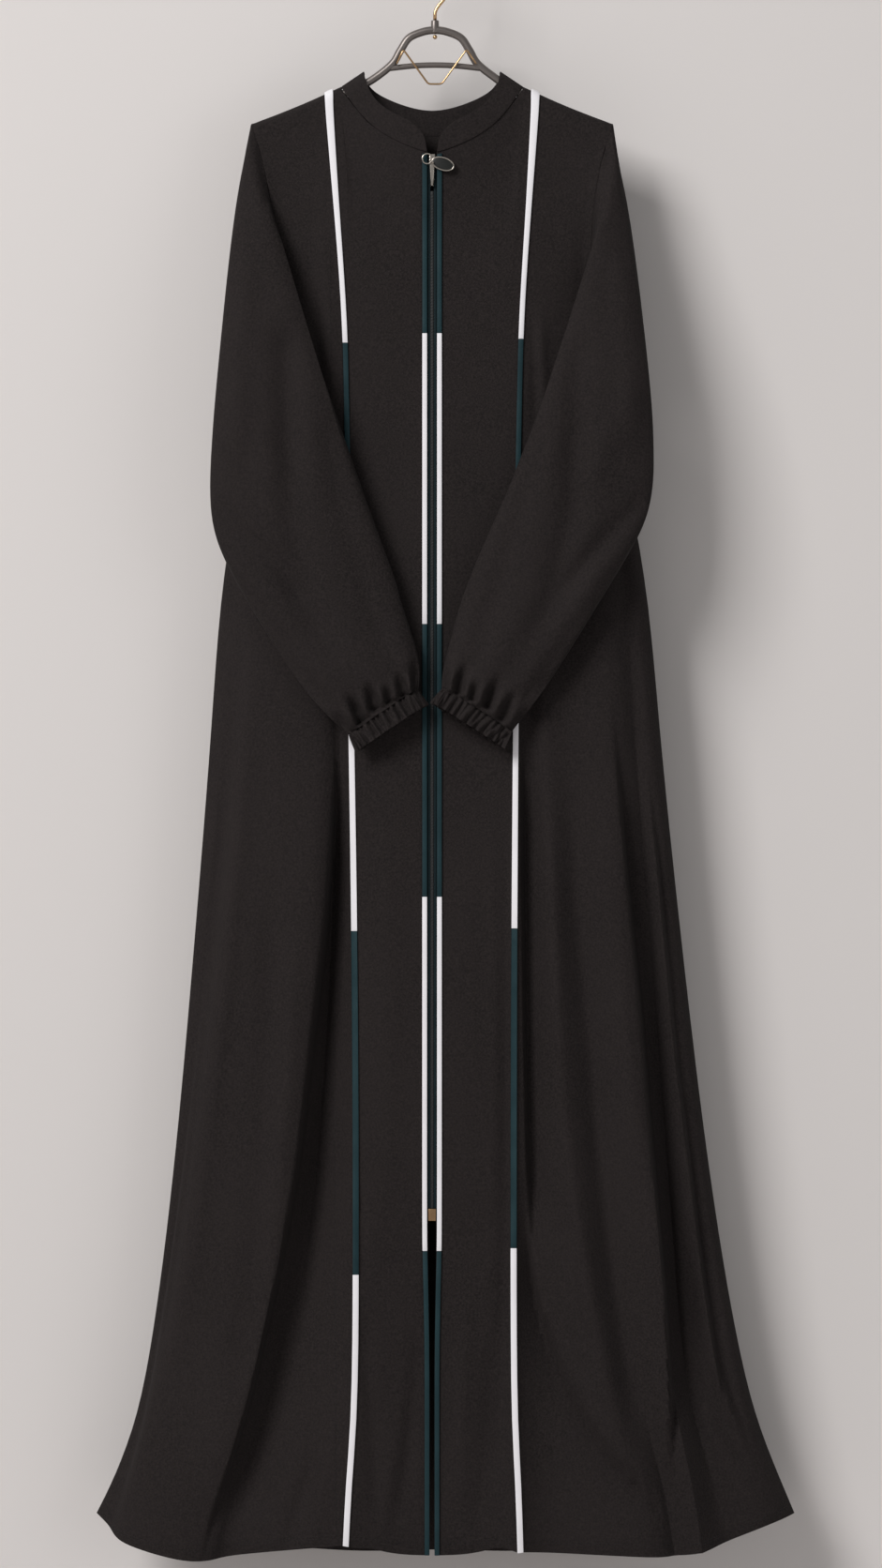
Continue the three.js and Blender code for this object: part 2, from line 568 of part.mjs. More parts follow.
// The armhole's edge as a loop of points: down the front, under the arm and up the back. Each
// point of the panels' outer face comes with the one behind it, both moved out by the seam's gap.
function armholeLoop(side) {
  const away = new THREE.Vector3(sideSign(side), 0, 0);
  const onEdge = (grid, rear) => grid.map((row) => (rear && side === "left" ? row[0] : row.at(-1)));
  const frontEdge = [onEdge(fronts[side].sidePanel.outer), onEdge(fronts[side].sidePanel.inner)];
  const rearEdge = [onEdge(back.outer, true), onEdge(back.inner, true)];
  const pairs = (edge, from, to) =>
    edge[0].slice(from, to).map((p, k) => ({ p: p.clone(), q: edge[1][from + k].clone() }));
  const tip = { p: frontEdge[0][0].clone().setY(0), q: frontEdge[1][0].clone().setY(0) };
  const under = { p: frontEdge[0][UNDERARM_ROW].clone().setY(0) };
  under.q = under.p.clone().add(new THREE.Vector3(-0.6 * WALL * sideSign(side), 0, 0.8 * WALL));
  const corners = [
    tip,
    ...pairs(frontEdge, 1, UNDERARM_ROW),
    under,
    ...pairs(rearEdge, 1, UNDERARM_ROW).reverse(),
  ];
  for (const { p, q } of corners) {
    const low = smooth((-p.z - 380) / (UNDERARM_DROP - 380));
    const rise = new THREE.Vector3(0, 0, 3 * SEAM_GAP * low);
    const shift = away.clone().multiplyScalar(1.5 * SEAM_GAP).add(rise);
    p.add(shift);
    q.add(shift);
  }
  const halved = (key) =>
    corners.flatMap((corner, k) => {
      const next = corners[(k + 1) % corners.length];
      return [corner[key].clone(), corner[key].clone().lerp(next[key], 0.5)];
    });
  const loop = halved("p");
  const liner = halved("q");
  // The share of the way round: half the way is under the arm.
  const run = [0];
  loop.forEach((p, k) => run.push(run[k] + p.distanceTo(loop[(k + 1) % loop.length])));
  const half = loop.length / 2;
  const shares = loop.map((_, k) =>
    k <= half ? (0.5 * run[k]) / run[half] : 0.5 + (0.5 * (run[k] - run[half])) / (run.at(-1) - run[half]),
  );
  return { loop, liner, shares };
}

// The turn round a sleeve's ring, in degrees, for a share of the way round the armhole.
function turnOf(share) {
  const { outer, front, inner, back: rear } = ARMHOLE_TURNS;
  const stops = [outer, front, inner, rear, outer + 1];
  const k = Math.max(0, stops.findIndex((stop) => share < stop) - 1);
  const from = share >= stops[4] ? 0 : k;
  const past = share >= stops[4] ? share - 1 : share;
  return 90 * (from + (past - stops[from]) / (stops[from + 1] - stops[from]));
}

function ringPoint(ring, side, degrees) {
  const turn = THREE.MathUtils.degToRad(degrees);
  const place = ([out, fore, drop]) => at(sideSign(side) * out, fore, drop);
  const [outer, inner] = [place(ring.outer), place(ring.inner)];
  const middle = outer.clone().add(inner).multiplyScalar(0.5);
  const layer = place(Math.sin(turn) > 0 ? ring.front : ring.back).sub(middle);
  return middle
    .clone()
    .addScaledVector(outer.sub(middle), Math.cos(turn))
    .addScaledVector(layer, Math.abs(Math.sin(turn)) ** 0.8);
}

const middleOf = (row) =>
  row.reduce((sum, p) => sum.add(p), new THREE.Vector3()).divideScalar(row.length);

// Normals of a grid that runs all round, turned away from each row's middle.
function roundNormals(grid) {
  return grid.map((row, r) => {
    const middle = middleOf(row);
    const [above, below] = [grid[Math.max(r - 1, 0)], grid[Math.min(r + 1, grid.length - 1)]];
    return row.map((p, k) => {
      const across = row[(k + 1) % row.length].clone().sub(row.at(k - 1));
      const n = across.cross(below[k].clone().sub(above[k])).normalize();
      return { n, out: n.dot(p.clone().sub(middle)) };
    });
  }).map((row, _, rows) => {
    const total = rows.flat().reduce((sum, { out }) => sum + out, 0);
    return row.map(({ n }) => (total < 0 ? n.negate() : n));
  });
}

function backedBy(grid, wall) {
  const normals = roundNormals(grid);
  return grid.map((row, r) => row.map((p, k) => p.clone().addScaledVector(normals[r][k], -wall)));
}

function buildSleeve(side) {
  const rings = SLEEVES[side];
  const { loop, liner, shares } = armholeLoop(side);
  const turns = shares.map(turnOf);
  turns.forEach((turn, k) => {
    if (k && turn < turns[k - 1]) turns[k] = turn + 360;
  });
  const shift = turns.reduce((sum, turn, k) => sum + turn - (360 * k) / SLEEVE_COLUMNS, 0) / SLEEVE_COLUMNS;
  const knots = [loop];
  rings.forEach((ring, j) => {
    const even = smooth((j + 1) / (rings.length - 1));
    knots.push(
      turns.map((turn, k) => ringPoint(ring, side, mix(turn, shift + (360 * k) / SLEEVE_COLUMNS, even))),
    );
  });
  const grid = [];
  SLEEVE_STEPS.forEach((steps, j) => {
    for (let step = 0; step < steps; step++) grid.push([j, step / steps]);
  });
  grid.push([rings.length - 1, 1]);
  const outer = grid.map(([j, t]) =>
    turns.map((_, k) => {
      const knot = (i) => knots[Math.min(Math.max(i, 0), knots.length - 1)][k];
      return spline(knot(j - 1), knot(j), knot(j + 1), knot(j + 2), t);
    }),
  );
  const gathers = roundNormals(outer);
  outer.forEach((row, r) => {
    const [j, t] = grid[r];
    const depth = GATHER_DEPTH * smooth((j + t - 4.6) / 1.6);
    row.forEach((p, k) => {
      const wave = Math.cos((2 * Math.PI * SLEEVE_GATHERS * k) / SLEEVE_COLUMNS);
      p.addScaledVector(gathers[r][k], depth * wave);
    });
  });
  const inner = backedBy(outer, WALL);
  inner[0] = liner;
  addMesh("sleeve_" + side, wallGeometry(outer, inner, true), CLOTH);
  return { outer, inner };
}

// The cuff is a short frill on the sleeve's end, pleated all round.
function buildCuff(side, sleeve) {
  const end = sleeve.outer.at(-1);
  const before = sleeve.outer.at(-2);
  const liner = sleeve.inner.at(-1);
  const perColumn = CUFF_COLUMNS / SLEEVE_COLUMNS;
  const share = (k) => [Math.floor(k / perColumn), (k % perColumn) / perColumn];
  const on = (row, k) => {
    const [whole, part] = share(k);
    return row[whole].clone().lerp(row[(whole + 1) % row.length], part);
  };
  const down = middleOf(end).sub(middleOf(before)).normalize();
  const seam = [...Array(CUFF_COLUMNS).keys()].map((k) => on(end, k).addScaledVector(down, SEAM_GAP));
  const seamInner = seam.map((p, k) =>
    p.clone().lerp(on(liner, k).addScaledVector(down, SEAM_GAP), FRILL_WALL / WALL),
  );
  const middle = middleOf(seam);
  const outer = [seam];
  for (let row = 1; row < CUFF_ROWS; row++) {
    const fall = row / (CUFF_ROWS - 1);
    outer.push(
      seam.map((p, k) => {
        const across = seam[(k + 1) % CUFF_COLUMNS].clone().sub(seam.at(k - 1));
        const n = across.cross(down).normalize();
        if (n.dot(p.clone().sub(middle)) < 0) n.negate();
        const wave = Math.cos((2 * Math.PI * CUFF.waves * k) / CUFF_COLUMNS);
        const uneven = 1 + 0.2 * Math.sin(1.7 * k);
        return p
          .clone()
          .addScaledVector(down, CUFF.length * fall)
          .addScaledVector(n, CUFF.depth * uneven * wave * fall ** 0.5 + CUFF.flare * fall);
      }),
    );
  }
  const inner = backedBy(outer, FRILL_WALL);
  inner[0] = seamInner;
  addMesh("cuff_" + side, wallGeometry(outer, inner, true), CLOTH);
}

for (const side of ["left", "right"]) buildCuff(side, buildSleeve(side));

// The collar stands on the neckline, from one front end round the back to the other.
function buildCollar() {
  const frontEdge = (side) => {
    const { centre, centrePlaces } = fronts[side];
    const count = centrePlaces.indexOf(NECK_PLACE) + 1;
    return centre.outer[0].slice(0, count).map((p, k) => ({ p, q: centre.inner[0][k] }));
  };
  const isNeck = ({ p }) => Math.abs(p.x) < NECK_OUT - 0.1;
  const rear = back.outer[0].map((p, k) => ({ p, q: back.inner[0][k] })).filter(isNeck);
  const columns = [...frontEdge("left"), ...rear, ...frontEdge("right").reverse()];
  const rise = (p) => {
    const side = Math.abs(p.x / NECK_OUT) ** 3;
    const end = p.y < 0 ? 1 - smooth(Math.abs(p.x) / 20) : 0;
    return new THREE.Vector3(
      -Math.sign(p.x) * (COLLAR_SIDE_LEAN * side - 3.5 * end),
      0,
      COLLAR_HEIGHT - COLLAR_SIDE_LOSS * side - 13 * end,
    );
  };
  const foot = ({ p, q }, which) => {
    const clear = SEAM_GAP * (1.4 + 4.4 * Math.abs(p.x / NECK_OUT) ** 12);
    return (which === "outer" ? p : q).clone().addScaledVector(rise(p).normalize(), clear);
  };
  const bottom = columns.map((c) => foot(c, "outer"));
  const outer = [bottom, ...[0.5, 1].map((share) =>
    columns.map((c, k) => bottom[k].clone().addScaledVector(rise(c.p), share)),
  )];
  const inner = outer.map((row, r) =>
    row.map((p, k) => {
      const [a, b] = [row[Math.max(k - 1, 0)], row[Math.min(k + 1, row.length - 1)]];
      const n = b.clone().sub(a).cross(rise(columns[k].p)).normalize();
      if (n.dot(new THREE.Vector3(p.x, 3 * p.y, 8)) < 0) n.negate();
      return r ? p.clone().addScaledVector(n, -WALL) : foot(columns[k], "inner");
    }),
  );
  addMesh("collar", wallGeometry(outer, inner), CLOTH);
}
buildCollar();

// Piping and zip binding: strips that lie on a panel, made from its own points moved out.

const rowAtDrop = (grid, col, drop) => {
  const drops = grid.map((row) => -row[col].z);
  if (drop <= drops[0]) return 0;
  const next = drops.findIndex((d) => d > drop);
  return next < 0 ? HEM_ROW : next - 1 + (drop - drops[next - 1]) / (drops[next] - drops[next - 1]);
};

function between(grid, row, col) {
  const whole = Math.min(Math.floor(row), HEM_ROW - 1);
  return grid[whole][col].clone().lerp(grid[whole + 1][col], row - whole);
}

function rowsFrom(first, last) {
  const rows = [first];
  for (let r = Math.floor(first) + 1; r < last; r++) rows.push(r);
  return [...rows, last].filter((r, k, all) => !k || r - all[k - 1] > 0.02);
}

function trimGeometry({ outer, inner }, col, from, to) {
  const rows = rowsFrom(rowAtDrop(outer, col, from), rowAtDrop(outer, col, to));
  const lift = (row, c, height) => {
    const p = between(outer, row, c);
    const n = p.clone().sub(between(inner, row, c)).normalize();
    return p.addScaledVector(n, height);
  };
  const across = (row, height, crown) => {
    const [a, b] = [lift(row, col, height), lift(row, col + 1, height)];
    const [up, level] = [lift(row, col, height + crown), lift(row, col + 1, height + crown)];
    return [a, up.lerp(level, 0.5), b];
  };
  const top = rows.map((row) => across(row, SEAM_GAP + TRIM_HEIGHT, TRIM_CROWN));
  const base = rows.map((row) => across(row, SEAM_GAP, 0));
  return wallGeometry(top, base);
}

function addTrim(name, side, col, stops, looks) {
  const { centre } = fronts[side];
  for (let k = 0; k < looks.length; k++) {
    const geometry = trimGeometry(centre, col, stops[k] + (k ? HALF_GAP : 0), stops[k + 1] - HALF_GAP);
    addMesh(name + "_" + side + "_" + (k + 1), geometry, looks[k]);
  }
}

for (const side of ["left", "right"]) {
  const pipingColumn = fronts[side].centrePlaces.indexOf(NECK_PLACE + 1);
  addTrim("piping", side, pipingColumn, PIPING_STOPS[side], [WHITE, TEAL, WHITE, TEAL, WHITE]);
  addTrim("binding", side, 0, BINDING_STOPS, [TEAL, WHITE, TEAL, WHITE, TEAL]);
}

// The zip: two tapes in the gap between the fronts, the closed chain, slider, pull and end box.

const TAPE = { inner: 1.8, outer: 4.7, recess: 0.4, thickness: 1, from: 226, to: ZIP_END_DROP };
const CHAIN = { half: 1.5, proud: 0.2, thickness: 1.8, from: 262, to: ZIP_END_DROP };
const zipLine = fronts.left.centre.outer;
const zipForeAt = (drop) => -between(zipLine, rowAtDrop(zipLine, 0, drop), 0).y;

function zipStrip(xFrom, xTo, piece) {
  const rows = rowsFrom(rowAtDrop(zipLine, 0, piece.from), rowAtDrop(zipLine, 0, piece.to));
  const layer = (back) =>
    rows.map((row) => {
      const p = between(zipLine, row, 0);
      const y = p.y + (piece.recess ?? -piece.proud) + back;
      return [xFrom, xTo].map((x) => new THREE.Vector3(x, y, p.z));
    });
  return wallGeometry(layer(0), layer(piece.thickness));
}
addMesh("zip_tape_left", zipStrip(-TAPE.outer, -TAPE.inner, TAPE), TEAL);
addMesh("zip_tape_right", zipStrip(TAPE.inner, TAPE.outer, TAPE), TEAL);
addMesh("zip_chain", zipStrip(-CHAIN.half, CHAIN.half, CHAIN), COIL);

const SLIDER = {
  outline: [[-3.6, 223], [3.6, 223], [4.2, 230], [2.6, 258], [-2.6, 258], [-4.2, 230]],
  clear: 0.2, // in front of the cloth's face beside it
  thickness: 4,
};
const PULL = {
  x: -5, // centre of the ring, which is the axis it swings on
  drop: 229,
  ring: 5.2,
  wire: 0.85,
  tilt: 18, // degrees below level, towards the right
  frame: [12.25, 7.1],
  rim: 2,
  join: 1, // how far the frame runs into the ring
};
const POST = { radius: 1, inside: 2.95, outside: 7.5, turn: 35 };
const sliderFore = zipForeAt(PULL.drop) + SLIDER.clear;
const pullBack = sliderFore + SLIDER.thickness + SEAM_GAP;

// A post through the pull's ring, bridged over its wire and back to the slider.
function sliderGeometry() {
  const turn = THREE.MathUtils.degToRad(POST.turn);
  const spot = (reach, fore) =>
    at(PULL.x + reach * Math.cos(turn), fore, PULL.drop - reach * Math.sin(turn));
  const root = sliderFore + SLIDER.thickness - 1;
  const top = pullBack + 2 * PULL.wire + SEAM_GAP + POST.radius;
  const bridge = rod(
    [
      spot(POST.inside, root),
      spot(POST.inside, top - 0.8),
      spot(POST.inside + 0.8, top),
      spot(POST.outside - 0.8, top),
      spot(POST.outside, top - 0.8),
      spot(POST.outside, root),
    ],
    POST.radius,
    14,
    6,
  );
  return joined([plate(SLIDER.outline, sliderFore + SLIDER.thickness, SLIDER.thickness), bridge]);
}
addMesh("zip_slider", sliderGeometry(), SILVER);

function ovalPlate(a, b, hole, thickness) {
  const shape = new THREE.Shape();
  shape.absellipse(0, 0, a, b, 0, 2 * Math.PI);
  if (hole) {
    const gap = new THREE.Path();
    gap.absellipse(0, 0, hole[0], hole[1], 0, 2 * Math.PI);
    shape.holes.push(gap);
  }
  const options = { depth: thickness, bevelEnabled: false, curveSegments: 16 };
  return new THREE.ExtrudeGeometry(shape, options).rotateX(Math.PI / 2);
}

function placePull(geometry, reach) {
  const tilt = THREE.MathUtils.degToRad(PULL.tilt);
  const x = PULL.x + reach * Math.cos(tilt);
  const z = -PULL.drop - reach * Math.sin(tilt);
  return geometry.rotateY(tilt).translate(x, -pullBack, z);
}

const pullReach = PULL.ring + PULL.wire + PULL.frame[0] - PULL.join;
const [frameLong, frameWide] = PULL.frame;
const ringHole = PULL.ring - PULL.wire;
const ringOuter = PULL.ring + PULL.wire;
addMesh(
  "zip_pull",
  joined([
    placePull(ovalPlate(ringOuter, ringOuter, [ringHole, ringHole], 2 * PULL.wire), 0),
    placePull(
      ovalPlate(frameLong, frameWide, [frameLong - PULL.rim, frameWide - PULL.rim], 2 * PULL.wire),
      pullReach,
    ),
  ]),
  SILVER,
);
const inlay = (size) => size - PULL.rim - SEAM_GAP;
addMesh(
  "pull_inlay",
  placePull(ovalPlate(inlay(frameLong), inlay(frameWide), null, 2 * PULL.wire - 0.4), pullReach),
  COIL,
);

const END_BOX = { half: 4, height: 12.5, thickness: 3 };
const endFore = zipForeAt(ZIP_END_DROP) + 0.4;
const endBottom = ZIP_END_DROP + SEAM_GAP + END_BOX.height;
addMesh(
  "zip_end_box",
  plate(
    [
      [-END_BOX.half, ZIP_END_DROP + SEAM_GAP],
      [END_BOX.half, ZIP_END_DROP + SEAM_GAP],
      [END_BOX.half, endBottom],
      [-END_BOX.half, endBottom],
    ],
    endFore + END_BOX.thickness - 1.5,
    END_BOX.thickness,
  ),
  GOLD,
);

// The hanger: bent arms and a bar of round tube, a socket, the hook, a wire brace and a bead.

const HANGER = {
  x: 3, // the hanger's middle stands a little to the right of the garment's
  arm: 4.15,
  bar: 3,
  socket: 4.5,
  socketTop: 81.8,
  socketBottom: 95,
  hook: 1.9,
  brace: 1.1,
  bead: 2.4,
};
const ARM_HALF = [
  [0, 92],
  [12, 93.5],
  [27, 100],
  [36, 113],
  [45, 127.5],
  [66, 144],
];
const UNDER_SHOULDER = [100, 140, 180];
const UNDER_CLOTH = 7.8; // from the shoulder seam down to the arm's middle

function hangerFrame() {
  const half = (sign) => [
    ...ARM_HALF.slice(1).map(([out, drop]) => at(HANGER.x + sign * out, 0, drop)),
    at(sign * 84, 0, 154.5),
    ...UNDER_SHOULDER.map((out) => at(sign * out, 0, shoulderDrop(out) + UNDER_CLOTH)),
  ];
  const middle = at(HANGER.x, 0, ARM_HALF[0][1]);
  const arms = rod([...half(-1).reverse(), middle, ...half(1)], HANGER.arm, 32);
  const bar = rod(
    [-47, -22, 0, 22, 47].map((x) => at(HANGER.x + x, 0, 128.4 + (x / 47) ** 2 * 3.4)),
    HANGER.bar,
    8,
  );
  const height = HANGER.socketBottom - HANGER.socketTop;
  const socket = new THREE.CylinderGeometry(HANGER.socket - 0.5, HANGER.socket, height, 16)
    .rotateX(Math.PI / 2)
    .translate(HANGER.x, 0, -(HANGER.socketTop + HANGER.socketBottom) / 2);
  return joined([arms, bar, socket]);
}
addMesh("hanger_frame", hangerFrame(), TAUPE);

const HOOK_RADIUS = 28;
const hookTurn = (degrees) => {
  const turn = THREE.MathUtils.degToRad(degrees);
  return at(HOOK_RADIUS * Math.cos(turn), 0, HOOK_RADIUS - HANGER.hook - HOOK_RADIUS * Math.sin(turn));
};
addMesh(
  "hanger_hook",
  rod(
    [
      at(HANGER.x, 0, HANGER.socketTop - 0.4),
      at(HANGER.x, 0, 74),
      at(7, 0, 66.5),
      at(17, 0, 55.5),
      ...[-25, 0, 30, 60, 90, 120, 150, 180, 205].map(hookTurn),
    ],
    HANGER.hook,
    32,
  ),
  GOLD,
);

const BRACE_FORE = HANGER.arm + HANGER.brace + SEAM_GAP;
const BRACE_LINE = [
  [-38, 127], [-33, 114], [-17, 132], [-5, 148], [0, 150], [5, 148], [17, 132], [33, 114], [42, 127],
];
addMesh(
  "hanger_brace",
  rod(
    BRACE_LINE.map(([x, drop]) => at(HANGER.x + x, BRACE_FORE, drop)),
    HANGER.brace,
    36,
    6,
  ),
  GOLD,
);
addMesh(
  "hanger_bead",
  new THREE.SphereGeometry(HANGER.bead, 8, 6).translate(HANGER.x, 0, -99),
  GOLD,
);

export default garment;
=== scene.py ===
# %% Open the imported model
import math

import bmesh
import bpy
import numpy as np
from mathutils import Matrix, Vector
from mathutils.bvhtree import BVHTree


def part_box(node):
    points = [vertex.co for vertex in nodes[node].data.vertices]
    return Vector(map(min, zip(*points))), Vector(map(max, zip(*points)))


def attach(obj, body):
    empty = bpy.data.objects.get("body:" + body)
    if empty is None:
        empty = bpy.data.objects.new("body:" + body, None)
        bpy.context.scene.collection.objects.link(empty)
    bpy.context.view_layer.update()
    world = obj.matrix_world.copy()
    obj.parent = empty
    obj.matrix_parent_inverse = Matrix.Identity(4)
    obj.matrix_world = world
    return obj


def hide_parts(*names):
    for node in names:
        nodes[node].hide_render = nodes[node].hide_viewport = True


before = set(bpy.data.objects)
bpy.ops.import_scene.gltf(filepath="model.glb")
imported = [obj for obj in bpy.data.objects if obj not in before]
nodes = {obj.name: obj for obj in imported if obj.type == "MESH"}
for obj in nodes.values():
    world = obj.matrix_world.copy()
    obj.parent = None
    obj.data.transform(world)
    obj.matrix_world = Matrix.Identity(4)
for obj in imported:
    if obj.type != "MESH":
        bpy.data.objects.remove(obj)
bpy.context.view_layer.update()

print("the packed model has", len(nodes), "pieces")

# %% [markdown]
# An abaya is a long, loose robe. This one hangs on a metal hanger: black crepe, a zip down the
# middle between two bindings, and narrow piping down each princess seam, in white and dark teal.
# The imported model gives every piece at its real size, in metres, with the hook's inside top at
# the origin. Places on the garment are in millimetres, and `mm` turns one into a point: how far
# right of the middle, how far forward of the hanger, and how far down it is. Blender works in
# metres, so the few sizes that go straight to it are in metres too.

# %% Sizes in millimetres
def mm(x, fore, drop):
    return Vector((x, -fore, -drop)) / 1000


def smooth(t):
    t = np.clip(t, 0, 1)
    return t * t * (3 - 2 * t)


# %% [markdown]
# Finishes come first. Crepe is woven from tightly twisted yarn, so its face is a fine, uneven
# pebble that hardly shines. Two noises make it: a fine one for the pebble and a wide one for the
# slight change of tone over the cloth. They live in a node group, because every dark piece uses
# them, each with its own colour. The group puts out a colour, a roughness and a height, and the
# shader stays outside it.

# %% A node group for the crepe's pebble
def new_group(name, inputs, outputs):
    group = bpy.data.node_groups.new(name, "ShaderNodeTree")
    for title, kind, value in inputs:
        socket = group.interface.new_socket(title, in_out="INPUT", socket_type=kind)
        socket.default_value = value
    for title, kind in outputs:
        group.interface.new_socket(title, in_out="OUTPUT", socket_type=kind)
    return group, group.nodes.new("NodeGroupInput"), group.nodes.new("NodeGroupOutput")


def node_in(tree, kind, **settings):
    node = tree.nodes.new(kind)
    for key, value in settings.items():
        setattr(node, key, value)
    return node


COLOUR, NUMBER = "NodeSocketColor", "NodeSocketFloat"
SURFACE = [("Colour", COLOUR), ("Roughness", NUMBER), ("Height", NUMBER)]


def range_of(tree, value, low, high):
    """A Map Range node that spreads a noise over low to high."""
    spread = node_in(tree, "ShaderNodeMapRange")
    spread.inputs["From Min"].default_value = 0.3
    spread.inputs["From Max"].default_value = 0.7
    spread.inputs["To Min"].default_value = low
    spread.inputs["To Max"].default_value = high
    tree.links.new(value, spread.inputs["Value"])
    return spread.outputs["Result"]


def noise_in(tree, place, scale, detail):
    noise = node_in(tree, "ShaderNodeTexNoise")
    noise.inputs["Scale"].default_value = scale
    noise.inputs["Detail"].default_value = detail
    tree.links.new(place, noise.inputs["Vector"])
    return noise.outputs["Fac"]


def mixed(tree, amount, a, b):
    mix = node_in(tree, "ShaderNodeMix", data_type="RGBA")
    for title, source in (("Factor", amount), ("A", a), ("B", b)):
        tree.links.new(source, mix.inputs[title])
    return mix.outputs["Result"]


def crepe_group():
    group, inside, out = new_group(
        "Crepe pebble",
        [("Colour", COLOUR, (0.02, 0.02, 0.02, 1)), ("Light yarn", COLOUR, (0.04, 0.04, 0.04, 1)),
         ("Pebble", NUMBER, 1.0)],
        SURFACE,
    )
    place = node_in(group, "ShaderNodeTexCoord").outputs["Object"]
    fine = noise_in(group, place, 850, 3)
    yarn = noise_in(group, place, 520, 2)
    wide = noise_in(group, place, 7, 2)
    base, light = inside.outputs["Colour"], inside.outputs["Light yarn"]
    tone = mixed(group, range_of(group, yarn, 0.0, 0.9), base, light)
    tone = mixed(group, range_of(group, wide, 0.0, 0.25), tone, light)
    group.links.new(tone, out.inputs["Colour"])
    group.links.new(range_of(group, yarn, 0.78, 0.92), out.inputs["Roughness"])
    height = node_in(group, "ShaderNodeMath", operation="MULTIPLY")
    group.links.new(fine, height.inputs[0])
    group.links.new(inside.outputs["Pebble"], height.inputs[1])
    group.links.new(height.outputs[0], out.inputs["Height"])
    return group


# %% [markdown]
# The piping and the zip's bindings are narrow tape with a fine rib along its length, and the
# metal is polished but handled. Each of those also gets a small group of its own, with the same
# three outputs, so one function can build every material.

# %% Groups for tape and metal
def tape_group():
    group, inside, out = new_group(
        "Ribbed tape",
        [("Colour", COLOUR, (0.7, 0.7, 0.72, 1)), ("Worn", COLOUR, (0.6, 0.6, 0.62, 1))],
        SURFACE,
    )
    place = node_in(group, "ShaderNodeTexCoord").outputs["Object"]
    rib = node_in(group, "ShaderNodeTexWave", wave_type="BANDS", bands_direction="Z")
    rib.inputs["Scale"].default_value = 420
    rib.inputs["Distortion"].default_value = 0.6
    group.links.new(place, rib.inputs["Vector"])
    soil = noise_in(group, place, 30, 3)
    tone = mixed(group, range_of(group, soil, 0.0, 0.6), inside.outputs["Colour"], inside.outputs["Worn"])
    group.links.new(tone, out.inputs["Colour"])
    group.links.new(range_of(group, soil, 0.62, 0.78), out.inputs["Roughness"])
    group.links.new(rib.outputs["Fac"], out.inputs["Height"])
    return group


def metal_group():
    group, inside, out = new_group(
        "Handled metal",
        [("Colour", COLOUR, (0.7, 0.7, 0.68, 1)), ("Dull", COLOUR, (0.5, 0.5, 0.48, 1)),
         ("Roughness", NUMBER, 0.2)],
        SURFACE,
    )
    place = node_in(group, "ShaderNodeTexCoord").outputs["Object"]
    smear = noise_in(group, place, 45, 4)
    grain = noise_in(group, place, 500, 2)
    tone = mixed(group, range_of(group, smear, 0.0, 0.5), inside.outputs["Colour"], inside.outputs["Dull"])
    group.links.new(tone, out.inputs["Colour"])
    rough = node_in(group, "ShaderNodeMath", operation="ADD")
    group.links.new(inside.outputs["Roughness"], rough.inputs[0])
    group.links.new(range_of(group, smear, 0.0, 0.12), rough.inputs[1])
    group.links.new(rough.outputs[0], out.inputs["Roughness"])
    group.links.new(grain, out.inputs["Height"])
    return group


# %% Materials
def finish_of(name, group, bump, metal=0.0, sheen=0.0, specular=0.5, **values):
    """A material whose colour, roughness and bump come from one of the groups."""
    material = bpy.data.materials.new(name)
    material.use_nodes = True
    tree = material.node_tree
    shader = tree.nodes["Principled BSDF"]
    surface = node_in(tree, "ShaderNodeGroup", node_tree=group)
    for title, value in values.items():
        surface.inputs[title.replace("_", " ").capitalize()].default_value = value
    tree.links.new(surface.outputs["Colour"], shader.inputs["Base Color"])
    tree.links.new(surface.outputs["Roughness"], shader.inputs["Roughness"])
    relief = node_in(tree, "ShaderNodeBump")
    relief.inputs["Strength"].default_value = 0.6
    relief.inputs["Distance"].default_value = bump / 1000
    tree.links.new(surface.outputs["Height"], relief.inputs["Height"])
    tree.links.new(relief.outputs["Normal"], shader.inputs["Normal"])
    shader.inputs["Metallic"].default_value = metal
    shader.inputs["Sheen Weight"].default_value = sheen
    shader.inputs["Sheen Roughness"].default_value = 0.5
    shader.inputs["Specular IOR Level"].default_value = specular
    return material


pebble, ribbed, handled = crepe_group(), tape_group(), metal_group()
CREPE = finish_of("black crepe", pebble, 0.12, sheen=0.008, specular=0.12,
                  colour=(0.0080, 0.0064, 0.0063, 1), light_yarn=(0.0235, 0.0192, 0.0188, 1), pebble=1.0)
WHITE = finish_of("white tape", ribbed, 0.05, specular=0.3,
                  colour=(0.78, 0.77, 0.80, 1), worn=(0.72, 0.71, 0.74, 1))
TEAL = finish_of("teal tape", ribbed, 0.05, specular=0.25,
                 colour=(0.0055, 0.027, 0.034, 1), worn=(0.004, 0.018, 0.023, 1))
THREAD = finish_of("black thread", ribbed, 0.02, specular=0.2,
                   colour=(0.016, 0.0145, 0.0145, 1), worn=(0.010, 0.009, 0.009, 1))
ZIP_TAPE = finish_of("zip tape", ribbed, 0.05, specular=0.15,
                     colour=(0.004, 0.012, 0.015, 1), worn=(0.003, 0.009, 0.011, 1))
COIL = finish_of("zip coil", handled, 0.01, specular=0.28,
                 colour=(0.018, 0.019, 0.020, 1), dull=(0.010, 0.011, 0.012, 1), roughness=0.45)
SILVER = finish_of("polished silver", handled, 0.01, metal=1.0,
                   colour=(0.55, 0.51, 0.46, 1), dull=(0.36, 0.33, 0.29, 1), roughness=0.2)
INLAY = finish_of("dark inlay", handled, 0.005, specular=0.35,
                  colour=(0.006, 0.007, 0.0065, 1), dull=(0.012, 0.014, 0.013, 1), roughness=0.32)
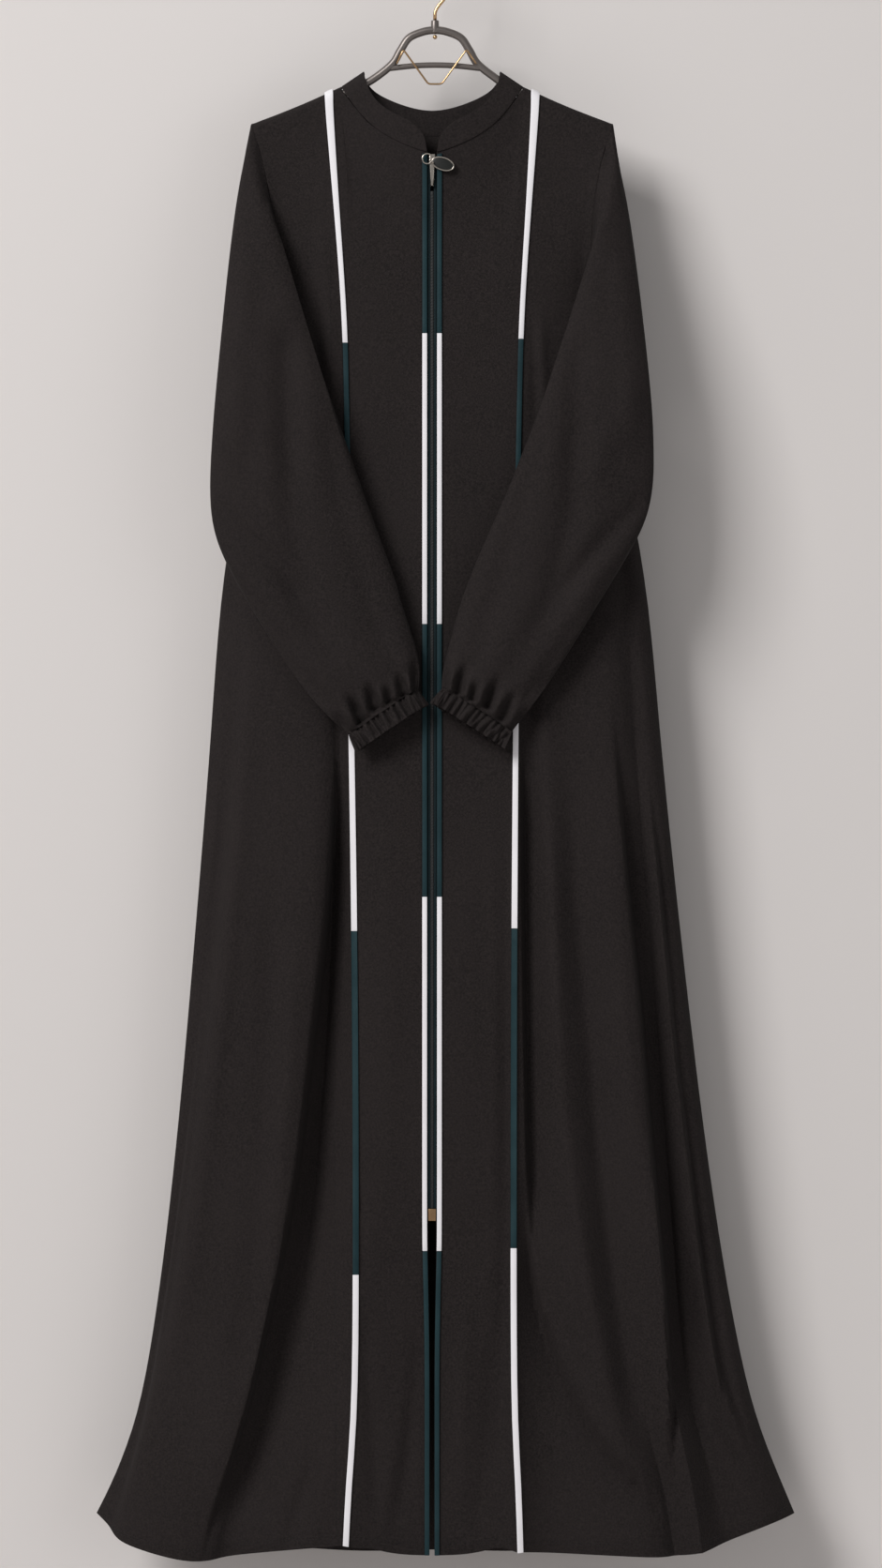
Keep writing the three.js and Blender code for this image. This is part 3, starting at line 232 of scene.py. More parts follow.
ANTIQUE = finish_of("dull gold", handled, 0.01, metal=0.8,
                    colour=(0.30, 0.19, 0.10, 1), dull=(0.18, 0.11, 0.06, 1), roughness=0.35)
GOLD = finish_of("brushed gold", handled, 0.01, metal=1.0,
                 colour=(0.60, 0.40, 0.22, 1), dull=(0.42, 0.27, 0.15, 1), roughness=0.22)
TAUPE = finish_of("taupe metal", handled, 0.02, metal=0.75,
                  colour=(0.185, 0.165, 0.155, 1), dull=(0.12, 0.105, 0.10, 1), roughness=0.34)
print(len(bpy.data.materials), "materials")

# %% [markdown]
# Cloth next. Each packed panel is already a thin wall with the big folds in it, but its faces are
# large and flat. A copy is merged, its triangles are joined to quads, and Catmull-Clark
# subdivision rounds the folds. The edges of the wall are creased, so that it keeps its thickness
# and its cut edge stays where the next panel's edge meets it.

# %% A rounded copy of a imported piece
SHARP = math.radians(55)


def quads_of(node):
    bm = bmesh.new()
    bm.from_mesh(nodes[node].data)
    bmesh.ops.remove_doubles(bm, verts=bm.verts, dist=2e-6)
    bmesh.ops.join_triangles(bm, faces=bm.faces, cmp_seam=False, cmp_sharp=False, cmp_uvs=False,
                             cmp_vcols=False, cmp_materials=False,
                             angle_face_threshold=0.9, angle_shape_threshold=1.4)
    return bm


def object_from(bm, name, material):
    mesh = bpy.data.meshes.new(name)
    bm.to_mesh(mesh)
    bm.free()
    mesh.materials.append(material)
    mesh.shade_smooth()
    piece = bpy.data.objects.new(name, mesh)
    bpy.context.scene.collection.objects.link(piece)
    return piece


def sharp_edges(bm, angle=SHARP):
    return [e for e in bm.edges if len(e.link_faces) == 2 and e.calc_face_angle() > angle]


def bevel_sharp(bm, radius, angle=1.0, segments=3, clamp=False):
    """Rounds the edges that are sharper than the angle. The radius is in millimetres."""
    bmesh.ops.bevel(bm, geom=sharp_edges(bm, angle), offset=radius / 1000, segments=segments,
                    profile=0.5, affect="EDGES", material=-1, clamp_overlap=clamp)


def rounded(node, name, material, levels):
    bm = quads_of(node)
    crease = bm.edges.layers.float.new("crease_edge")
    for edge in sharp_edges(bm):
        edge[crease] = 1.0
    piece = object_from(bm, name, material)
    soften = piece.modifiers.new("rounding", "SUBSURF")
    soften.levels = soften.render_levels = levels
    graph = bpy.context.evaluated_depsgraph_get()
    baked = bpy.data.meshes.new_from_object(piece.evaluated_get(graph))
    piece.modifiers.clear()
    piece.data = baked
    return piece


# %% [markdown]
# A steep fold needs more faces across it than subdivision gives, so the side fronts get each
# column cut in two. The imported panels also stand 0.3 mm apart at their seams. Their narrow ends
# are let out until they nearly meet, or the wall behind would shine through as a bright line.

# %% More columns, and seams that let no light through
# In metres: columns narrower than this stay whole, and faces thinner than this are wall ends.
SHORTEST_COLUMN = 0.0012
THINNEST_EDGE = 0.0005


def with_more_columns(piece):
    """Cuts each edge that runs across the cloth in two, so that a steep fold has faces enough."""
    bm = bmesh.new()
    bm.from_mesh(piece.data)
    edges = []
    for edge in bm.edges:
        span = edge.verts[1].co - edge.verts[0].co
        if abs(span.x) > SHORTEST_COLUMN and abs(span.x) > 1.5 * abs(span.z):
            edges.append(edge)
    bmesh.ops.subdivide_edges(bm, edges=edges, cuts=1)
    bm.to_mesh(piece.data)
    bm.free()


def close_seams(bm, reach):
    """Lets the wall's narrow ends out a little, so that no light shows through a seam."""
    moves = {}
    for face in bm.faces:
        if min(edge.calc_length() for edge in face.edges) < THINNEST_EDGE:
            for vert in face.verts:
                moves[vert] = moves.get(vert, Vector()) + face.normal
    for vert, way in moves.items():
        if way.length > 1e-6:
            vert.co += way.normalized() * reach / 1000


# %% [markdown]
# The folds that the imported panels don't have are laid from the photograph: each is a line
# down the cloth, with a depth and a width in millimetres. A trough has a positive depth and a
# ridge a negative one. The line fades out at both ends, and the cloth sinks along it in a soft
# bell shape. Both faces of the wall move alike, so the cloth keeps its thickness. The back can't
# be seen in the photograph and gets folds of the same kind. Where the cloth falls over itself, the
# fold is a step instead: proud on one side of its line and deep on the other, and `STEP` is how
# far it takes to change over.

# %% Folds laid along given lines
# Each row: its line as (x, drop) points, its depth and its width.
FRONT_CREASES = [
    ([(-164, 937), (-172, 1215), (-186, 1400), (-203, 1550)], 4.0, 15),
    ([(-142, 1010), (-150, 1200), (-168, 1400), (-196, 1560)], -2.4, 12),
    ([(-191, 660), (-208, 825), (-223, 993), (-240, 1159), (-259, 1299), (-285, 1462), (-315, 1573),
      (-332, 1640)], 7.0, 8),
    ([(-184, 760), (-206, 993), (-224, 1180), (-246, 1350), (-272, 1500)], -3.5, 10),
    ([(-118, 1570), (-138, 1630), (-153, 1675)], 4.5, 8),
    ([(-100, 1500), (-112, 1590), (-122, 1675)], -2.2, 9),
    ([(-14, 1440), (-24, 1578), (-41, 1665)], 3.0, 8),
    ([(-30, 1500), (-44, 1600), (-58, 1670)], -1.6, 9),
    ([(-72, 1420), (-62, 1550), (-56, 1650)], 3.0, 8),
    ([(-77, 1290), (-71, 1400)], 2.0, 6),
    ([(119, 860), (127, 1048), (135, 1215), (158, 1383), (185, 1522), (219, 1625)], -4.5, 11),
    ([(141, 860), (152, 1020), (166, 1159), (174, 1271), (191, 1410), (214, 1600)], 4.6, 11),
    ([(180, 900), (202, 1159), (224, 1327), (241, 1466)], -3.2, 12),
    ([(220, 853), (241, 1020), (264, 1215), (292, 1383)], -3.0, 10),
    ([(264, 1330), (280, 1483), (316, 1565), (352, 1625)], 6.0, 10),
    ([(110, 386), (115, 460), (117, 520)], -2.0, 7),
    ([(104, 380), (108, 450), (109, 520)], 1.8, 6),
    ([(-118, 280), (-108, 400), (-102, 500)], -2.0, 9),
    ([(-128, 300), (-119, 420), (-112, 520)], 1.8, 8),
    ([(52, 900), (56, 1150), (50, 1400)], 1.4, 14),
    ([(78, 880), (78, 1100), (78, 1300), (72, 1500), (64, 1640)], 5.0, 10),
    ([(-48, 880), (-44, 1120), (-52, 1380)], -1.4, 15),
    ([(36, 1400), (32, 1540), (28, 1660)], -2.0, 9),
    ([(62, 1440), (56, 1560), (46, 1665)], 2.4, 8),
]
STEP, STEP_EASE, STEP_TAIL = 6, 0.2, 0.16
# Each row: its line, how proud the near side is and how wide, then how deep and wide beyond it.
# Beyond is to the line's right, or to its left where that width is negative.
FRONT_STEPS = [
    ([(-95, 800), (-99, 864), (-111, 1041), (-123, 1139), (-140, 1286), (-158, 1384), (-187, 1511),
      (-207, 1580), (-231, 1648), (-240, 1690)], 8, 44, 18, 38),
    ([(94, 820), (94, 940), (96, 1100), (99, 1250), (104, 1360)], 2, 14, 12, 17),
    ([(188, 800), (193, 864), (207, 1011), (217, 1109), (229, 1256), (242, 1404), (249, 1531),
      (244, 1620)], 8, 40, 15, 16),
    ([(222, 860), (234, 943), (254, 1158), (278, 1354), (298, 1492), (342, 1600)], 4, 13, 10, 16),
    ([(96, 1320), (110, 1420), (138, 1500), (184, 1575), (250, 1640)], 4, 30, 10, -17),
]
BACK_CREASES = [
    ([(-150, 420), (-165, 700), (-190, 1050), (-214, 1400), (-238, 1600)], 6.2, 13),
    ([(-120, 380), (-128, 720), (-140, 1080), (-160, 1420), (-176, 1650)], -4.8, 14),
    ([(-86, 520), (-88, 900), (-98, 1280), (-118, 1600)], 5.7, 12),
    ([(-52, 330), (-50, 640), (-46, 960), (-52, 1330)], -3.3, 15),
    ([(-20, 700), (-22, 1060), (-30, 1440), (-40, 1650)], 4.2, 11),
    ([(16, 460), (20, 820), (24, 1220), (20, 1620)], -3.7, 13),
    ([(54, 560), (60, 940), (70, 1300), (92, 1640)], 5.3, 12),
    ([(92, 400), (104, 760), (122, 1140), (142, 1560)], -4.4, 14),
    ([(140, 480), (156, 820), (178, 1180), (206, 1560)], 6.4, 13),
    ([(176, 620), (204, 960), (236, 1300), (272, 1560)], -4.6, 12),
    ([(-196, 820), (-228, 1160), (-262, 1480), (-290, 1620)], -4.2, 12),
    ([(-60, 250), (0, 268), (60, 250)], 2.9, 14),
    ([(-130, 250), (-96, 330), (-70, 420)], 2.6, 12),
    ([(130, 246), (102, 330), (80, 410)], 2.6, 12),
]


def lengths_of(line):
    """The length of each stretch of a line, and how far along it each point is."""
    steps = np.linalg.norm(np.diff(line, axis=0), axis=1)
    return steps, np.concatenate([[0], np.cumsum(steps)])


def from_line(line, x, drop):
    """How far each place is from the line, on which side (+ right), how far down it and what share."""
    spots = np.stack([x, drop], 1)
    line = np.array(line, float)
    steps, along = lengths_of(line)
    nearest, place, side = np.full(len(x), 1e9), np.zeros(len(x)), np.ones(len(x))
    for a, b, length, start in zip(line, line[1:], steps, along):
        t = np.clip(((spots - a) @ (b - a)) / length**2, 0, 1)
        away = np.linalg.norm(spots - (a + t[:, None] * (b - a)), axis=1)
        closer = away < nearest
        turn = (spots[:, 0] - a[0]) * (b[1] - a[1]) - (spots[:, 1] - a[1]) * (b[0] - a[0])
        nearest[closer], place[closer] = away[closer], start + t[closer] * length
        side[closer] = np.sign(turn[closer])
    return nearest, side, place, place / along[-1]


def lie_of(rows, x, drop, ease=0.22, tail=0.18):
    """How far the cloth sinks at each (x, drop), in millimetres, fading over the shares ease and tail."""
    sink = np.zeros_like(x)
    for line, depth, width in rows:
        nearest, _, place, share = from_line(line, x, drop)
        fade = smooth(share / ease) * smooth((1 - share) / tail)
        uneven = 1 + 0.22 * np.sin(place / 61 + depth * 3) + 0.12 * np.sin(place / 23 + width)
        sink += depth * fade * uneven * np.exp(-((nearest / width) ** 2))
    return sink


def steps_of(rows, x, drop):
    """Folds that fall over like a step: proud on the near side of the line, deep beyond it."""
    sink = np.zeros_like(x)
    for line, proud, near, deep, far in rows:
        nearest, side, _, share = from_line(line, x, drop)
        beyond = nearest * side * math.copysign(1, far)
        over = smooth((beyond + STEP / 2) / STEP)
        rise = -proud * np.exp(-((beyond / near) ** 2))
        fall = deep * np.exp(-((beyond / far) ** 2))
        fade = smooth(share / STEP_EASE) * smooth((1 - share) / STEP_TAIL)
        sink += fade * (rise * (1 - over) + fall * over)
    return sink


def hand(x, drop):
    """The cloth's own slight unevenness, long down the grain and short across it."""
    return (0.30 * np.sin(x / 19 + drop / 240) * np.sin(drop / 170 + x / 90)
            + 0.22 * np.sin(x / 11.5 - drop / 310 + 1.7) * np.sin(drop / 118 + 0.6)
            + 0.16 * np.sin(x / 31 + drop / 74 + 0.4))


print(len(FRONT_CREASES + FRONT_STEPS + BACK_CREASES), "folds laid by hand on the body")

# %% [markdown]
# The body hangs from the shoulders, so there the cloth is smooth, and at the side seam the front
# and back edges have to stay together. The folds fade out towards both. `SIDES` is the half width
# of the garment at a few heights.

# %% How the body's cloth lies
SIDES = {"drop": [190, 425, 650, 825, 1000, 1300, 1530, 1590, 1640],
         "left": [189, 176, 219, 231, 245, 272, 305, 325, 351],
         "right": [189, 176, 223, 238, 256, 292, 334, 357, 379]}


def side_at(x, drop):
    left = np.interp(drop, SIDES["drop"], SIDES["left"])
    right = np.interp(drop, SIDES["drop"], SIDES["right"])
    return np.where(x < 0, left, right)


SEAM_MARGIN, SEAM_FADE = 3, 16
YOKE_DROP, YOKE_FADE = 215, 60


def body_lie(rows, steps):
    def sink(x, fore, drop):
        inward = smooth((side_at(x, drop) - np.abs(x) - SEAM_MARGIN) / SEAM_FADE)
        below = smooth((drop - YOKE_DROP) / YOKE_FADE)
        return (lie_of(rows, x, drop) + steps_of(steps, x, drop) + hand(x, drop)) * inward * below
    return sink


front_lie = body_lie(FRONT_CREASES, FRONT_STEPS)
back_lie = body_lie(BACK_CREASES, [])


HEM_EXTRA, HEM_TOP, HEM_FADE, HEM_HALF = 13, 1480, 180, 320


def hem_below(x, fore, drop):
    """The back hangs a little lower at its middle, so its hem doesn't show above the front's slit."""
    inner = 1 - np.clip(np.abs(x) / HEM_HALF, 0, 1) ** 3
    return HEM_EXTRA * smooth((drop - HEM_TOP) / HEM_FADE) * inner


def shift(piece, axis, amount):
    """Moves each vertex along one axis by amount(x, fore, drop), in millimetres."""
    co = np.empty(len(piece.data.vertices) * 3)
    piece.data.vertices.foreach_get("co", co)
    co = co.reshape(-1, 3)
    co[:, axis] += amount(co[:, 0] * 1000, -co[:, 1] * 1000, -co[:, 2] * 1000) / 1000
    piece.data.vertices.foreach_set("co", co.ravel())
    piece.data.update()


def let_drop(piece, fall):
    shift(piece, 2, lambda x, fore, drop: -fall(x, fore, drop))


def let_lie(piece, sink, way):
    """Moves the cloth by sink(x, fore, drop), away from the viewer on that side of it."""
    shift(piece, 1, lambda x, fore, drop: way * sink(x, fore, drop))


# %% [markdown]
# The cut edges of real cloth are turned or folded, never knife sharp. A small bevel on the wall's
# edges rounds them, and where two panels meet it leaves the fine groove of a seam.

# %% Turned edges, and attaching each cloth piece to its body
surfaces = {}


def turn_edges(piece, radius, reach=0.0):
    bm = bmesh.new()
    bm.from_mesh(piece.data)
    if reach:
        close_seams(bm, reach)
    bevel_sharp(bm, radius, SHARP, segments=2, clamp=True)
    bm.to_mesh(piece.data)
    surfaces[piece.name] = BVHTree.FromBMesh(bm)
    bm.free()
    piece.data.shade_smooth()


def finished(piece, replaced, body="garment"):
    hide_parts(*replaced)
    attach(piece, body)
    print(piece.name, len(piece.data.polygons), "faces")
    return piece


def cloth(node, name, material, slot, levels=2, lie=None, way=1, edge=0.45, fall=None,
          columns=False, reach=0.0):
    piece = rounded(node, name, material, levels)
    if columns:
        with_more_columns(piece)
    if fall:
        let_drop(piece, fall)
    if lie:
        let_lie(piece, lie, way)
    turn_edges(piece, edge, reach)
    return finished(piece, [node])


# %% The body's panels
SEAM_REACH = 0.13
for side in ("left", "right"):
    for part, more in (("centre", False), ("side", True)):
        cloth(f"front_{part}_{side}", f"{side}_{part}_front", CREPE, "crepe", lie=front_lie,
              columns=more, reach=SEAM_REACH)
cloth("back", "back_panel", CREPE, "crepe", lie=back_lie, way=-1, fall=hem_below, reach=SEAM_REACH)

# %% [markdown]
# The sleeves hang in front of the body with the wrists together. They are flattened tubes, so
# only the front layer takes the folds: one long soft trough from the upper arm to the wrist, and
# the short gathers that the elastic pulls up above the cuff. The cuff is pleated all along, and
# the seam over it is pulled in.

# %% Folds on the sleeves
SLEEVE_CREASES = [
    ([(-152, 400), (-150, 468), (-145, 606), (-127, 697), (-92, 765)], 6.5, 15),
    ([(-192, 330), (-200, 440), (-206, 560)], -3.0, 13),
    ([(-110, 500), (-92, 600), (-62, 700), (-40, 752)], 2.6, 12),
    ([(-226, 590), (-198, 618), (-160, 650), (-130, 700)], 4.0, 10),
    ([(-214, 640), (-176, 680), (-146, 730)], -2.0, 11),
    ([(-214, 470), (-180, 520), (-150, 580)], -2.2, 16),
    ([(-170, 740), (-128, 776), (-100, 800)], 2.6, 9),
    ([(-181, 206), (-175, 240), (-168, 285)], 3.0, 6),
    ([(152, 410), (150, 480), (146, 590), (124, 690), (88, 760)], 6.0, 15),
    ([(194, 330), (204, 440), (208, 540)], -3.0, 13),
    ([(112, 500), (94, 590), (64, 690), (38, 748)], 2.8, 12),
    ([(222, 580), (192, 612), (158, 650), (132, 690)], 4.0, 10),
    ([(210, 624), (172, 666), (142, 716)], -2.0, 11),
    ([(212, 460), (184, 520), (156, 580)], -2.2, 16),
    ([(166, 730), (130, 768), (104, 790)], 2.6, 9),
    ([(185, 212), (180, 250), (174, 300)], 3.0, 6),
]
# The gathers are short: each starts in the cuff's seam and dies out in a dimple.
GATHERS = [
    ([(-84, 832), (-92, 820), (-103, 804)], 9.8, 5.0),
    ([(-79, 824), (-84, 812), (-91, 796)], -4.7, 4.7),
    ([(-72, 818), (-78, 804), (-87, 784)], 10.9, 4.7),
    ([(-66, 811), (-70, 798), (-76, 782)], -5.1, 4.5),
    ([(-59, 805), (-62, 790), (-68, 772)], 10.5, 5.0),
    ([(-51, 801), (-53, 787), (-56, 774)], -4.3, 4.3),
    ([(-44, 797), (-46, 786), (-48, 776)], 7.0, 3.8),
    ([(-37, 793), (-39, 778), (-41, 764)], -5.1, 4.5),
    ([(-29, 790), (-32, 776), (-37, 762)], 10.1, 4.7),
    ([(-21, 787), (-23, 776), (-25, 764)], -3.9, 4.0),
    ([(-15, 785), (-17, 770), (-20, 750)], 8.6, 4.3),
    ([(83, 830), (91, 818), (104, 798)], 8.7, 5.0),
    ([(77, 822), (84, 810), (92, 792)], -4.0, 4.7),
    ([(70, 815), (78, 800), (90, 778)], 9.4, 5.0),
    ([(63, 809), (69, 796), (76, 780)], -4.4, 4.5),
    ([(56, 803), (61, 788), (70, 766)], 8.7, 5.0),
    ([(48, 799), (51, 786), (56, 774)], -3.7, 4.3),
    ([(41, 795), (44, 782), (47, 772)], 6.7, 4.0),
    ([(34, 791), (36, 778), (40, 762)], -4.0, 4.5),
    ([(27, 788), (30, 772), (36, 752)], 8.4, 4.7),
    ([(19, 785), (20, 772), (23, 758)], -3.4, 4.0),
    ([(13, 783), (14, 770), (17, 756)], 5.7, 3.8),
]
SLEEVE_MIDDLE = {"drop": [190, 280, 420, 520, 800], "fore": [0, 21, 47.5, 52.5, 52]}
LAYER_FADE = 8
ARMHOLE_DROP, ARMHOLE_FADE = 195, 40


def sleeve_lie(x, fore, drop):
    middle = np.interp(drop, SLEEVE_MIDDLE["drop"], SLEEVE_MIDDLE["fore"])
    front_layer = smooth((fore - middle) / LAYER_FADE + 0.5)
    folds = (lie_of(SLEEVE_CREASES, x, drop, 0.08) + lie_of(GATHERS, x, drop, 0.05, 0.6)
             + lie_of(PINCHES, x, drop, 0.01, 0.01))
    below = smooth((drop - ARMHOLE_DROP) / ARMHOLE_FADE)
    return (folds + 0.8 * hand(x * 0.8, drop)) * front_layer * below


# %% Pleats on the cuffs
# The cuff's upper and lower edges. Its pleats run from one to the other.
CUFF_LINES = {
    "left": ([(-86, 829), (-62, 805), (-28, 788), (-14, 782)], [(-73, 845), (-43, 818), (-5, 801)]),
    "right": ([(4, 781), (31, 792), (68, 814), (82, 830)], [(-2, 799), (26, 817), (62, 843)]),
}
PLEATS, PLEAT_WIDTH = 13, 1.8
CUFF_MIDDLE, CUFF_FADE = 50, 6


def down_line(line, share):
    line = np.array(line, float)
    _, along = lengths_of(line)
    return tuple(np.interp(share * along[-1], along, line[:, axis]) for axis in (0, 1))


PLEAT_ROWS = []
for upper, lower in CUFF_LINES.values():
    for k in range(PLEATS):
        share = (k + 0.5 + 0.16 * math.sin(2.3 * k)) / PLEATS
        depth = 3.1 + 0.7 * math.sin(3.1 * k)
        ends = [down_line(upper, share), down_line(lower, share)]
        PLEAT_ROWS.append((ends, depth, PLEAT_WIDTH))


# The seam between sleeve and cuff is pulled in by its elastic.
PINCHES = [(upper, 2.6, 2.6) for upper, _ in CUFF_LINES.values()]


def cuff_lie(x, fore, drop):
    folds = lie_of(PLEAT_ROWS, x, drop, 0.02, 0.02) + lie_of(PINCHES, x, drop, 0.01, 0.01)
    return folds * smooth((fore - CUFF_MIDDLE) / CUFF_FADE)


for side in ("left", "right"):
    cloth(f"sleeve_{side}", f"{side}_sleeve", CREPE, "crepe", levels=3, lie=sleeve_lie, reach=SEAM_REACH)
    cloth(f"cuff_{side}", f"{side}_cuff", CREPE, "crepe", lie=cuff_lie, edge=0.2)


def collar_lie(x, fore, drop):
    """The band is doubled cloth, so it stands a little proud of the fronts along its seam."""
    return -1.1 * smooth((fore - 2) / 6)


cloth("collar", "collar_band", CREPE, "crepe", lie=collar_lie, edge=0.5, reach=SEAM_REACH)

# %% [markdown]
# The piping and the bindings lie on the panels' edges. They take the same folds as the cloth
# under them, so nothing sinks in or floats, and a smaller bevel rounds the tape's edges.

# %% Piping, bindings and zip tapes
WHITE_TRIM, TEAL_TRIM = (WHITE, "white_trim"), (TEAL, "teal_trim")
STRETCHES = {"piping": [WHITE_TRIM, TEAL_TRIM], "binding": [TEAL_TRIM, WHITE_TRIM]}
trims = {}
for kind, looks in STRETCHES.items():
    for side in ("left", "right"):
        trims[kind, side] = [
            cloth(f"{kind}_{side}_{k + 1}", f"{side}_{kind}_{k + 1}", *looks[k % 2], levels=1,
                  lie=front_lie, edge=0.3)
            for k in range(5)]
for side in ("left", "right"):
    tape = cloth(f"zip_tape_{side}", f"{side}_zip_tape", ZIP_TAPE, "teal_trim", levels=1,
                 lie=front_lie, edge=0.2)
    trims["binding", side].append(tape)

# %% [markdown]
# The trims are sewn on, so like the panels that carry them they ride on the garment's body.

# %% [markdown]
# The zip is a nylon coil: a row of small loops on each tape, that hook into each other down the
# middle. The imported chain is a plain strip. Its copy becomes the cord in the middle, and a small
# loop is set on it every 1.6 mm, left and right in turn. All the loops are one mesh.

# %% The zip's coil
COIL_TOP, COIL_LENGTH, COIL_PITCH = 266, 1050, 1.6
# A line of sight starts this far in front of the hanger.
EYE = 400


def sight(names, x, drop, way=1):
    """Where a line of sight meets the named cloth, and which way the cloth faces. Way -1 is from behind."""
    best = None
    for name in names:
        hit, normal, _, _ = surfaces[name].ray_cast(mm(x, EYE * way, drop), Vector((0, way, 0)))
        if hit and (best is None or hit.y * way < best[0].y * way):
            best = (hit, normal)
    return best


chain = rounded("zip_chain", "coil_loops", COIL, 1)
let_lie(chain, front_lie, 1)
turn_edges(chain, 0.3)
bm = bmesh.new()
bm.from_mesh(chain.data)
for k in range(int(COIL_LENGTH / COIL_PITCH)):
    spot = sight(["coil_loops"], 0, COIL_TOP + COIL_PITCH * k)
    if spot:
        middle = spot[0] + mm((-0.75, 0.75)[k % 2], -0.1, 0)
        loop = Matrix.Translation(middle) @ Matrix.Diagonal((1.1, 0.55, 0.6, 1))
        bmesh.ops.create_icosphere(bm, subdivisions=1, radius=0.001, matrix=loop)
bm.to_mesh(chain.data)
bm.free()
finished(chain, ["zip_chain"])

# %% [markdown]
# Round metal is swept: a circle is set square to the first stretch of the path, and its edge is
# extruded and turned from point to point. `curve_through` first rounds the few given points into
# a smooth line.

# %% Sweeping a round section along a line
def curve_through(points, steps):
    points = [Vector(p) for p in points]
    ends = [2 * points[0] - points[1], *points, 2 * points[-1] - points[-2]]
    line = []
    for a, b, c, d in zip(ends, ends[1:], ends[2:], ends[3:]):
        for i in range(steps):
            t = i / steps
            square, cube = 2 * a - 5 * b + 4 * c - d, 3 * b - a - 3 * c + d
            line.append(0.5 * (2 * b + (c - a) * t + square * t**2 + cube * t**3))
    return [*line, points[-1]]


def bent(points, corner, steps=5):
    """A wire bent at each point, with a corner of about that size."""
    points = [Vector(p) for p in points]
    line = [points[0]]
    for a, b, c in zip(points, points[1:], points[2:]):
        near = b + (a - b).normalized() * min(corner / 1000, (a - b).length * 0.45)
        far = b + (c - b).normalized() * min(corner / 1000, (c - b).length * 0.45)
        line += [near.lerp(b, t).lerp(b.lerp(far, t), t) for t in (k / steps for k in range(steps + 1))]
    return [*line, points[-1]]


def sweep(bm, line, radius, sides, closed=False, across=Vector((0, 1, 0))):
    """Adds a tube round a line that bends in the plane square to across."""
    count = len(line)
    spans = []
    for i in range(count):
        before = line[i - 1] if i or closed else line[i]
        after = line[(i + 1) % count] if i < count - 1 or closed else line[i]
        spans.append((after - before).normalized())
    frames = []
    for spot, span in zip(line, spans):
        side = span.cross(across).normalized()
        depth = side.cross(span).normalized()
        frames.append(Matrix.Translation(spot) @ Matrix((side, depth, span)).transposed().to_4x4())
    ring = bmesh.ops.create_circle(bm, segments=sides, radius=radius / 1000, matrix=frames[0])
    edges = list({e for v in ring["verts"] for e in v.link_edges})
    first = list(edges)
    for previous, this in zip(frames, frames[1:]):
        grown = bmesh.ops.extrude_edge_only(bm, edges=edges)["geom"]
        edges = [e for e in grown if isinstance(e, bmesh.types.BMEdge) and len(e.link_faces) == 1]
        verts = list({v for e in edges for v in e.verts})
        bmesh.ops.transform(bm, matrix=this @ previous.inverted(), verts=verts)
    if closed:
        bmesh.ops.bridge_loops(bm, edges=first + edges)
    else:
        for rim in (first, edges):
            bmesh.ops.contextual_create(bm, geom=rim)


def swept(name, material, line, radius, sides):
    bm = bmesh.new()
    sweep(bm, line, radius, sides)
    bmesh.ops.recalc_face_normals(bm, faces=bm.faces)
    return object_from(bm, name, material)


# %% [markdown]
# The zip's pull is a wire ring with an oval frame on it, set with a dark inlay. It hangs from a
# small bridge on the slider. It is the one part that moves, so ring, frame and inlay all ride on
# the pull's own body.

# %% The zip's pull
PULL = {"x": -5, "drop": 229, "ring": 5.2, "wire": 0.72, "tilt": math.radians(18),
        "long": 12.25, "wide": 7.1}
INLAY_INSET, INLAY_HALF_DEPTH = 1.2, 0.8
low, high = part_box("zip_pull")
pull_fore = -(low.y + high.y) * 500


def pull_spot(along, across):
    tilt = PULL["tilt"]
    return mm(PULL["x"] + along * math.cos(tilt) - across * math.sin(tilt), pull_fore,
              PULL["drop"] + along * math.sin(tilt) + across * math.cos(tilt))


def oval(middle, long, wide, count):
    turns = [2 * math.pi * k / count for k in range(count)]
    return [pull_spot(middle + long * math.cos(t), wide * math.sin(t)) for t in turns]


frame_middle = PULL["ring"] + PULL["wire"] + PULL["long"] - 1
bm = bmesh.new()
sweep(bm, oval(0, PULL["ring"], PULL["ring"], 40), PULL["wire"], 12, closed=True)
sweep(bm, oval(frame_middle, PULL["long"] - PULL["wire"], PULL["wide"] - PULL["wire"], 48),
      PULL["wire"], 12, closed=True)
bmesh.ops.recalc_face_normals(bm, faces=bm.faces)
finished(object_from(bm, "oval_zip_pull", SILVER), ["zip_pull"], "pull")

bm = bmesh.new()
shape = (Matrix.Translation(pull_spot(frame_middle, 0)) @ Matrix.Rotation(PULL["tilt"], 4, "Y")
         @ Matrix.Diagonal((PULL["long"] - INLAY_INSET, INLAY_HALF_DEPTH,
                            PULL["wide"] - INLAY_INSET, 1)))
bmesh.ops.create_uvsphere(bm, u_segments=40, v_segments=16, radius=0.001, matrix=shape)
finished(object_from(bm, "dark_inlay", INLAY), ["pull_inlay"], "pull")

# %% [markdown]
# The slider is a small cast wedge, broad at the top and narrow below. A cube is stretched and its
# lower end pinched, then its edges are bevelled. The bridge over the pull's ring is swept wire.

